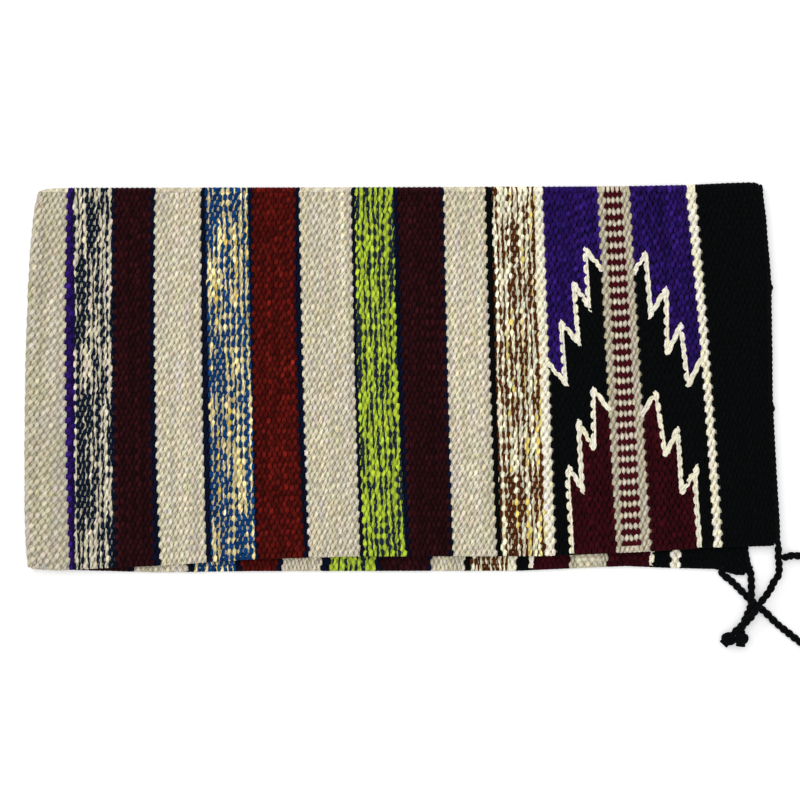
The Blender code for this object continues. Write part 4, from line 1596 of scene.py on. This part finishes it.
@dataclass
class TwistedCord:
    """A cord of two strands twisted round each other."""

    name: str
    strand_radius: float
    helix_radius: float
    pitch: float
    sides: int
    seed: int
    root_thinning: float = 0.0
    root_length: float = 0.009
    # crevice: how dark the painted shade between the strands goes
    crevice_shade: float = 0.75
    uneven_twist: Wander = Wander(0.02, 0.25)
    uneven_size: Wander = Wander(0.006, 0.04)

    def twist(self, path: np.ndarray) -> bpy.types.Object:
        """Twist the cord along a free path, thinner at its root.

        The twist is a whole turn for each pitch of the length, plus soft noise.

        Args:
            path: Points along the cord's middle.

        Returns:
            The cord's piece.
        """
        rng = np.random.default_rng(self.seed)
        lengths = lengths_along(path)
        turn = 2 * math.pi * lengths / self.pitch + self.uneven_twist.noise(rng, 1, lengths)[0]
        thin = 1 - self.root_thinning * (1 - smoothstep(0, self.root_length, lengths))
        size = self.strand_radius * thin * (1 + self.uneven_size.noise(rng, 2, lengths))
        tone = FINISHES[Wool.TWINED].tones(rng, 2, lengths / BEAD_LENGTH)
        heights = self.helix_radius, self.helix_radius + self.strand_radius
        return self.wind(path, ways(path), turn, thin, size, tone, heights)

    def wind(
        self, path: np.ndarray, sideways: tuple, turn: np.ndarray, thin: np.ndarray | float,
        size: np.ndarray, tone: np.ndarray, heights: tuple,
    ) -> bpy.types.Object:
        """Wind two round strands, half a turn apart, on a helix round a path.

        A strand's middle is the path's point, plus the helix's radius times the cosine of the
        angle along the side way and the sine of it along the up way.

        Args:
            path: Points along the cord's middle.
            sideways: Side and up ways at each point.
            turn: Angle of the first strand at each point.
            thin: Share of the helix's radius at each point.
            size: Radius of each strand at each point.
            tone: Colour of each strand at each point.
            heights: A strand's height over the middle, and the cord's, for the painted shade of the
                crevices.

        Returns:
            The cord's piece.
        """
        side, up = sideways
        angle = turn + math.pi * np.arange(2)[:, None]
        out = np.cos(angle)[..., None] * side + np.sin(angle)[..., None] * up
        shape = angle.shape
        yarns = Yarns(
            centre=path + (self.helix_radius * thin * np.ones(len(path)))[:, None] * out,
            side=side, up=up, half_width=size, half_height=size, lift=np.full(shape, heights[0]),
            tone=tone, shown=np.ones(shape, dtype=bool), crevice_shade=self.crevice_shade, reach=heights[1],
        )
        ply = np.full((*shape, self.sides), -1.0)
        return yarns.mesh(self.name, self.sides, ply, FINISHES[Wool.TWINED])


@dataclass
class TieCord:
    """A free tie cord at a corner: two strands, and the knot that stops them."""

    name: str
    layer: Layer
    route: tuple
    knot_radius: float
    seed: int
    diameter: float = 0.0074
    strand_radius: float = 0.00350
    helix_radius: float = 0.00135
    pitch: float = 0.0170
    root_thinning: float = 0.36
    spacing: float = 0.0012
    sides: int = 9
    knot_rings: int = 90
    knot_sides: int = 10
    knot_tube: float = 0.0042
    knot_swell: float = 0.0027
    knot_depth: float = 1.5
    knot_overlap: float = 0.0006
    tail: float = 0.0030
    tail_thickness: float = 1.65
    # knot_crevice_shade and crevice_shade_heights: how dark the painted shade in the knot's
    # crevices goes, and between which heights
    knot_crevice_shade: float = 0.8
    crevice_shade_heights: tuple = (0.002, 0.0045)

    def knot(self, end: np.ndarray, ahead: np.ndarray) -> bpy.types.Object:
        """Tie the stopper knot: a round yarn along a trefoil, its plane across the cord.

        The trefoil's plane point is (sin a + 2 sin 2a, cos a - 2 cos 2a), at most 3 from its
        middle, and its depth is in step with minus sin 3a.

        Args:
            end: Where the cord ends.
            ahead: Level direction of the cord there.

        Returns:
            The knot's piece.
        """
        shape = (2, self.knot_rings)
        angle = np.linspace(0, 2 * math.pi, self.knot_rings)
        radius = self.knot_radius + self.knot_swell
        flat = np.stack([
            np.sin(angle) + 2 * np.sin(2 * angle), np.cos(angle) - 2 * np.cos(2 * angle),
            -self.knot_depth * np.sin(3 * angle),
        ], -1) * (radius - self.knot_tube) / 3.0
        side, up = ways(flat)
        across, upright = np.array([-ahead[1], ahead[0], 0.0]), np.array([0, 0, 1.0])
        turn = np.stack([across, upright, ahead])
        middle = end + ahead * (self.knot_radius - self.knot_overlap)
        middle[2] = radius
        along_tail = np.linspace(0, self.knot_radius + self.tail, self.knot_rings)
        cut = middle + ahead * along_tail[:, None]
        across, upright = (np.broadcast_to(way, cut.shape) for way in (across, upright))
        finish = FINISHES[Wool.TWINED]
        thickness = np.array([self.knot_tube, self.strand_radius * self.tail_thickness])
        size = np.broadcast_to(thickness[:, None], shape)
        tone = finish.tones(np.random.default_rng(self.seed), 2, angle)
        lift, reach = self.crevice_shade_heights
        yarns = Yarns(
            centre=np.stack([flat @ turn + middle, cut]), side=np.stack([side @ turn, across]),
            up=np.stack([up @ turn, upright]), half_width=size, half_height=size,
            lift=np.full(shape, lift), tone=tone, shown=np.ones(shape, dtype=bool),
            crevice_shade=self.knot_crevice_shade, reach=reach,
        )
        ply = np.full((*shape, self.knot_sides), -1.0)
        piece = yarns.mesh(self.name + "_stopper", self.knot_sides, ply, finish)
        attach(piece, self.layer.body)
        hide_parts(self.name + "_knot")
        LOG.info("%s: %d faces", piece.name, len(piece.data.polygons))
        return piece

    def build(self) -> bpy.types.Object:
        """Returns:
            The cord's piece.
        """
        points = np.array(self.route) + self.layer.corner()
        path = even_path(points, self.spacing)
        cord = TwistedCord(
            self.name + "_twist", self.strand_radius, self.helix_radius, self.pitch, self.sides,
            self.seed, self.root_thinning,
        )
        piece = cord.twist(path)
        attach(piece, self.layer.body)
        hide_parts(self.name)
        ahead = (path[-1] - path[-2]) * np.array([1, 1, 0])
        knot = self.knot(path[-1], unit(ahead))
        return piece


@dataclass
class EdgeCord:
    """The twined cord along the right side of the cloth, on both layers and round the fold."""

    strand_radius: float = 0.00285
    helix_radius: float = 0.00080
    pitch: float = 0.0135
    sides: int = 7
    rings: int = 320
    turn_rings: int = 15
    tuck: float = 0.0005
    start: float = 0.0005
    joins: tuple = ((0.252, 0.0019), (0.571, 0.0021))
    join_length: float = 0.0035
    side_seed: int = 21
    turn_seed: int = 31
    # crevice_shade_heights: the heights that set the painted shade between the strands of the cord
    # round the fold
    crevice_shade_heights: tuple = (0.002, 0.003)

    def cord(self, name: str, seed: int) -> TwistedCord:
        """One stretch of the cord, by its name and its seed."""
        sizes = self.strand_radius, self.helix_radius, self.pitch, self.sides
        return TwistedCord(f"{name}_edge_cord_twist", *sizes, seed)

    def side(self, layer: Layer) -> bpy.types.Object:
        """Twist the cord along one layer's right side, out a little where its yarns were joined.

        A join adds its bump times the exponential of minus the square of the way from it, over
        the join's length.

        Args:
            layer: The layer.

        Returns:
            The cord's piece.
        """
        reach = float(layer.edge(1.0))
        down = np.linspace(0, reach, self.rings)
        x = layer.line(len(BANDS), down) + EDGE_CORD_OFFSET - self.tuck
        for place, bump in self.joins:
            x = x + bump * np.exp(-((down - place) * layer.depth / self.join_length) ** 2)
        y = FOLD_Y - self.start * (1 - down / reach) - layer.depth * down
        path = np.stack([x, y, np.full(len(down), layer.middle)], -1)
        piece = self.cord(layer.name, self.side_seed + len(layer.name)).twist(path)
        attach(piece, layer.body)
        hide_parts(f"{layer.name}_edge_cord")
        return piece

    def turn(self, fold: FoldTurn) -> bpy.types.Object:
        """Carry the cord round the fold.

        Args:
            fold: The turn of the cloth.

        Returns:
            The cord's piece of the turn.
        """
        share = np.linspace(0, 1, self.turn_rings)
        x = np.array([fold.front.fold_lines[-1] - MIDDLE_X + EDGE_CORD_OFFSET - self.tuck])
        points, outward = fold.arc(x, share)
        path, sideways = points[0], (np.array([1.0, 0, 0]), outward[0])
        rng = np.random.default_rng(self.turn_seed)
        tone = FINISHES[Wool.TWINED].tones(rng, 2, share * 2)
        size = np.full((2, len(share)), self.strand_radius)
        turn = 2 * math.pi * lengths_along(path) / self.pitch
        cord = self.cord("fold_turn", self.turn_seed)
        piece = cord.wind(path, sideways, turn, 1.0, size, tone, self.crevice_shade_heights)
        fold.attach(piece)
        return piece


@dataclass
class WarpGround:
    """The warp: a thin ground through the middle of both layers and the turn."""

    front: Layer
    back: Layer
    fold: FoldTurn
    half_thickness: float = 0.0005
    inset: float = 0.0022
    hem_inset: float = 0.006
    band_margin: float = 0.03
    rows: int = 90
    turn_rows: int = 9
    # shade: how far the sheet's colour is darkened, as painted shade in the gaps between the wefts
    shade: float = 0.48
    flat_size: tuple = (0.91, 0.915)
    top_map: float = 0.01
    under_map: float = 0.52
    map_width: float = 0.46

    def half(self, layer: Layer) -> np.ndarray:
        """Lay the sheet through one layer, with two columns for each band.

        The columns lie a small share inside the band's two lines, and the rows at even shares of
        the way from the fold to a little inside the free edge.

        Args:
            layer: The layer.

        Returns:
            Points by row from the fold and by column.
        """
        down = np.linspace(0, 1, self.rows)
        lines = np.stack([layer.line(number, down) for number in range(len(BANDS) + 1)], -1)
        lines[:, [0, -1]] += self.inset
        width = np.diff(lines, axis=1)[..., None]
        places = np.array([self.band_margin, 1 - self.band_margin])
        x = (lines[:, :-1, None] + width * places).reshape(len(down), -1)
        x[:, -1] = lines[:, -1]
        left, right = lines[-1, 0], lines[-1, -1]
        reach = layer.edge((x[-1] - left) / (right - left)) - self.hem_inset
        y = FOLD_Y - layer.depth * down[:, None] * reach
        return np.stack([x, y, np.full(x.shape, layer.middle)], -1)

    def sheet(self) -> tuple[np.ndarray, np.ndarray]:
        """Join the sheet of both layers by that of the turn.

        Returns:
            The grid from the back's free edge to the front's, and its outward ways.
        """
        back, front = self.half(self.back), self.half(self.front)
        turn = np.linspace(0, 1, self.turn_rows)[1:-1]
        points, outward = self.fold.arc(front[0, :, 0], turn)
        grid = np.concatenate([back[::-1], points.transpose(1, 0, 2), front])
        outs = [np.broadcast_to(np.array([0, 0, way]), back.shape) for way in (-1.0, 1.0)]
        return grid, np.concatenate([outs[0], outward.transpose(1, 0, 2), outs[1]])

    def colours(self) -> np.ndarray:
        """Colour of the sheet under each band, the painted shade of the gaps between the wefts: its
        wool's, darkened, or black under the motif.

        Returns:
            One row for each column.
        """
        colours = []
        for band in BANDS:
            finish = FINISHES[Wool.BLACK if band.name.endswith("_motif") else band.wool]
            colour = np.array([*linear(finish.colour), 1.0])
            if finish.plying is not Plying.SINGLE:
                colour[:3] += linear(finish.second)
            colours += [colour, colour]
        return np.array(colours) * self.shade

    def build(self, pieces: list[bpy.types.Object]) -> bpy.types.Object:
        """Its two faces are the grid moved out and in along its outward ways by half its thickness,
        and quads join them all round the rim.

        Args:
            pieces: The woven pieces; not used.

        Returns:
            The ground's piece.
        """
        grid, out = self.sheet()
        rows, columns = grid.shape[:2]
        size = rows * columns
        shell = np.stack([grid + out * self.half_thickness, grid - out * self.half_thickness])
        index = np.arange(size).reshape(rows, columns)
        quads = np.stack([index[:-1, :-1], index[:-1, 1:], index[1:, 1:], index[1:, :-1]], -1)
        quads = quads.reshape(-1, 4)
        rim = np.concatenate([index[0, :-1], index[:-1, -1], index[-1, :0:-1], index[:0:-1, 0]])
        after = np.roll(rim, -1)
        faces = np.concatenate([
            quads[:, ::-1], quads + size, np.stack([rim, after, after + size, rim + size], -1),
        ])
        mesh = bpy.data.meshes.new("warp_ground")
        mesh.from_pydata(shell.reshape(-1, 3).tolist(), [], faces.tolist())
        corner = faces.reshape(-1)
        place = corner % size
        flat = np.stack([(place % columns) / (columns - 1), (place // columns) / (rows - 1)], -1)
        sheet_map = np.where(corner >= size, self.under_map, self.top_map)
        flat[:, 0] = flat[:, 0] * self.map_width + sheet_map
        tone = np.tile(self.colours(), (2 * rows, 1))
        ply = np.full(2 * size, -1.0)
        piece = wool_piece(mesh, {"OFBake": flat, "Yarn": flat}, tone, ply, WARP_FINISH)
        self.fold.blend(piece)
        LOG.info("%s: %d faces", piece.name, len(piece.data.polygons))
        return piece


@dataclass
class Studio:
    """The camera straight above, a plain pale floor and soft light."""

    frame_width: float = 0.968
    lens: float = 100.0
    sensor: float = 36.0
    clips: tuple = (0.05, 40.0)
    centre: tuple = (-0.0037, -0.0276, 0.0133)
    floor_height: float = -0.0009
    floor_reach: float = 4.0
    floor_colour: tuple = (0.93, 0.93, 0.93)
    floor_glow: float = 0.22
    white: tuple = (1.0, 1.0, 1.0)
    surround: float = 0.55
    lamps: tuple = (
        ("overhead_panel", (0, 0.1, 2.2), 2.4, 24.0), ("key_panel", (-1.4, 1.5, 1.9), 0.7, 14.0),
    )

    def camera(self) -> None:
        """Hang the camera over the blanket, looking straight down.

        Its height over the cloth is the frame's width times the lens over the sensor.
        """
        data = bpy.data.cameras.new("overhead_camera")
        data.lens = self.lens
        data.sensor_width = self.sensor
        data.clip_start, data.clip_end = self.clips
        camera = placed("overhead_camera", data)
        x, y, z = self.centre
        camera.location = (x, y, z + self.frame_width * self.lens / self.sensor)
        bpy.context.scene.camera = camera

    def floor(self) -> None:
        """Lay a pale matt floor under the blanket, a little brighter to the camera."""
        mesh = bpy.data.meshes.new("floor")
        far, height = self.floor_reach, self.floor_height
        corners = [
            (-far, -far, height), (far, -far, height), (far, far, height), (-far, far, height),
        ]
        mesh.from_pydata(corners, [], [(0, 1, 2, 3)])
        made = bpy.data.materials.new("studio_floor")
        tree = NodeTree(made)
        matt = tree.node("BsdfDiffuse", {"Color": self.floor_colour}).outputs[0]
        seen = tree.node("LightPath").outputs["Is Camera Ray"]
        level = tree.maths("MULTIPLY", seen, self.floor_glow)
        glow = tree.node("Emission", {"Color": self.white, "Strength": level}).outputs[0]
        both = tree.node("AddShader", {0: matt, 1: glow}).outputs[0]
        tree.node("OutputMaterial", {"Surface": both})
        mesh.materials.append(made)
        placed("floor", mesh)

    def light(self) -> None:
        """Set a soft overhead panel, a gentle key from the upper left and an even surround.

        A panel faces the middle: it is tilted by the angle between straight down and the way
        there, and turned round by that way's heading less a quarter turn.
        """
        for name, place, size, energy in self.lamps:
            data = bpy.data.lights.new(name, "AREA")
            data.shape = "DISK"
            data.size = size
            data.energy = energy
            lamp = placed(name, data)
            lamp.location = place
            x, y, z = -np.array(place)
            lamp.rotation_euler = (
                math.atan2(math.hypot(x, y), -z), 0, math.atan2(y, x) - math.pi / 2,
            )
        world = bpy.data.worlds.new("surround")
        tree = NodeTree(world)
        rays = tree.node("LightPath").outputs
        seen = tree.maths("MAXIMUM", rays["Is Camera Ray"], rays["Is Glossy Ray"])
        seen = tree.maths("MAXIMUM", seen, rays["Is Transmission Ray"])
        lit, shown = (
            tree.node("Background", {"Color": self.white, "Strength": strength}).outputs[0]
            for strength in (self.surround, 1.0)
        )
        mix = tree.node("MixShader", {0: seen, 1: lit, 2: shown}).outputs[0]
        tree.node("OutputWorld", {"Surface": mix})
        bpy.context.scene.world = world
        bpy.context.scene.view_settings.view_transform = "Standard"


def layers() -> tuple[Layer, Layer]:
    """Set out the front and the back layer.

    Returns:
        The front layer and the back one.
    """
    sways = np.array([band.sway for band in BANDS])
    front = Layer(
        name="front", body="front_layer", middle=0.01005, upward=1.0, depth=FRONT_DEPTH,
        edge_shares=FRONT_EDGE_SHARES, end_warps=WARPS,
        free_widths=np.array([band.fold_width * band.front_share for band in BANDS]),
        right_bow=0.0052, right_bow_shares=RIGHT_BOW_SHARES, sways=sways,
        rings_per_warp=4, sides=6, plain_end=1.2,
    )
    back = Layer(
        name="back", body="back_layer", middle=0.00325, upward=-1.0, depth=BACK_DEPTH,
        edge_shares=BACK_EDGE_SHARES, end_warps=64.5,
        free_widths=np.array([band.back_width for band in BANDS]),
        right_bow=0.0060, right_bow_shares=BACK_RIGHT_BOW_SHARES, sways=sways * 0.5,
        rings_per_warp=3, sides=5, plain_end=5.0,
    )
    return front, back


def panels(layer: Layer) -> list[StepPanel]:
    """Set out the two motif panels of a layer.

    Args:
        layer: The layer.

    Returns:
        The left panel and the right one.
    """
    names = [band.name for band in BANDS]
    return [
        StepPanel(layer, names.index("left_motif"), LEFT_UPPER_ZIGZAG, LEFT_LOWER_ZIGZAG),
        StepPanel(
            layer, names.index("right_motif"), RIGHT_UPPER_ZIGZAG,
            RIGHT_LOWER_ZIGZAG if layer.upward > 0 else BACK_RIGHT_LOWER_ZIGZAG,
        ),
    ]


def ties(front: Layer, back: Layer) -> list[TieCord]:
    """Set out the four tie cords, two at the corner of each layer.

    Args:
        front: The front layer.
        back: The back one.

    Returns:
        The cords.
    """
    return [
        TieCord("front_tie_cord", front, FRONT_TIE_ROUTE, knot_radius=0.0070, seed=101),
        TieCord("front_side_tie_cord", front, FRONT_SIDE_TIE_ROUTE, knot_radius=0.0066, seed=102),
        TieCord("back_edge_tie_cord", back, BACK_EDGE_TIE_ROUTE, knot_radius=0.0066, seed=103),
        TieCord("back_corner_tie_cord", back, BACK_CORNER_TIE_ROUTE, knot_radius=0.0066, seed=104),
    ]


def main() -> None:
    """Build the studio, the cords, both layers, the fold's turn and the ground, in that order."""
    logging.basicConfig(level=logging.INFO, format="%(message)s")
    studio = Studio()
    studio.camera()
    front, back = layers()
    for cord in ties(front, back):
        cord.build()
    edge = EdgeCord()
    woven = [edge.side(front), edge.side(back)]
    for layer in (front, back):
        motifs = {panel.number: panel for panel in panels(layer)}
        for number in range(len(BANDS)):
            woven += motifs[number].build() if number in motifs else [layer.weave(number)]
    fold = FoldTurn(front, back)
    woven += [fold.weave(wool) for wool in dict.fromkeys(band.wool for band in BANDS)]
    woven.append(edge.turn(fold))
    WarpGround(front, back, fold).build(woven)
    studio.floor()
    studio.light()


if __name__ == "__main__":
    main()
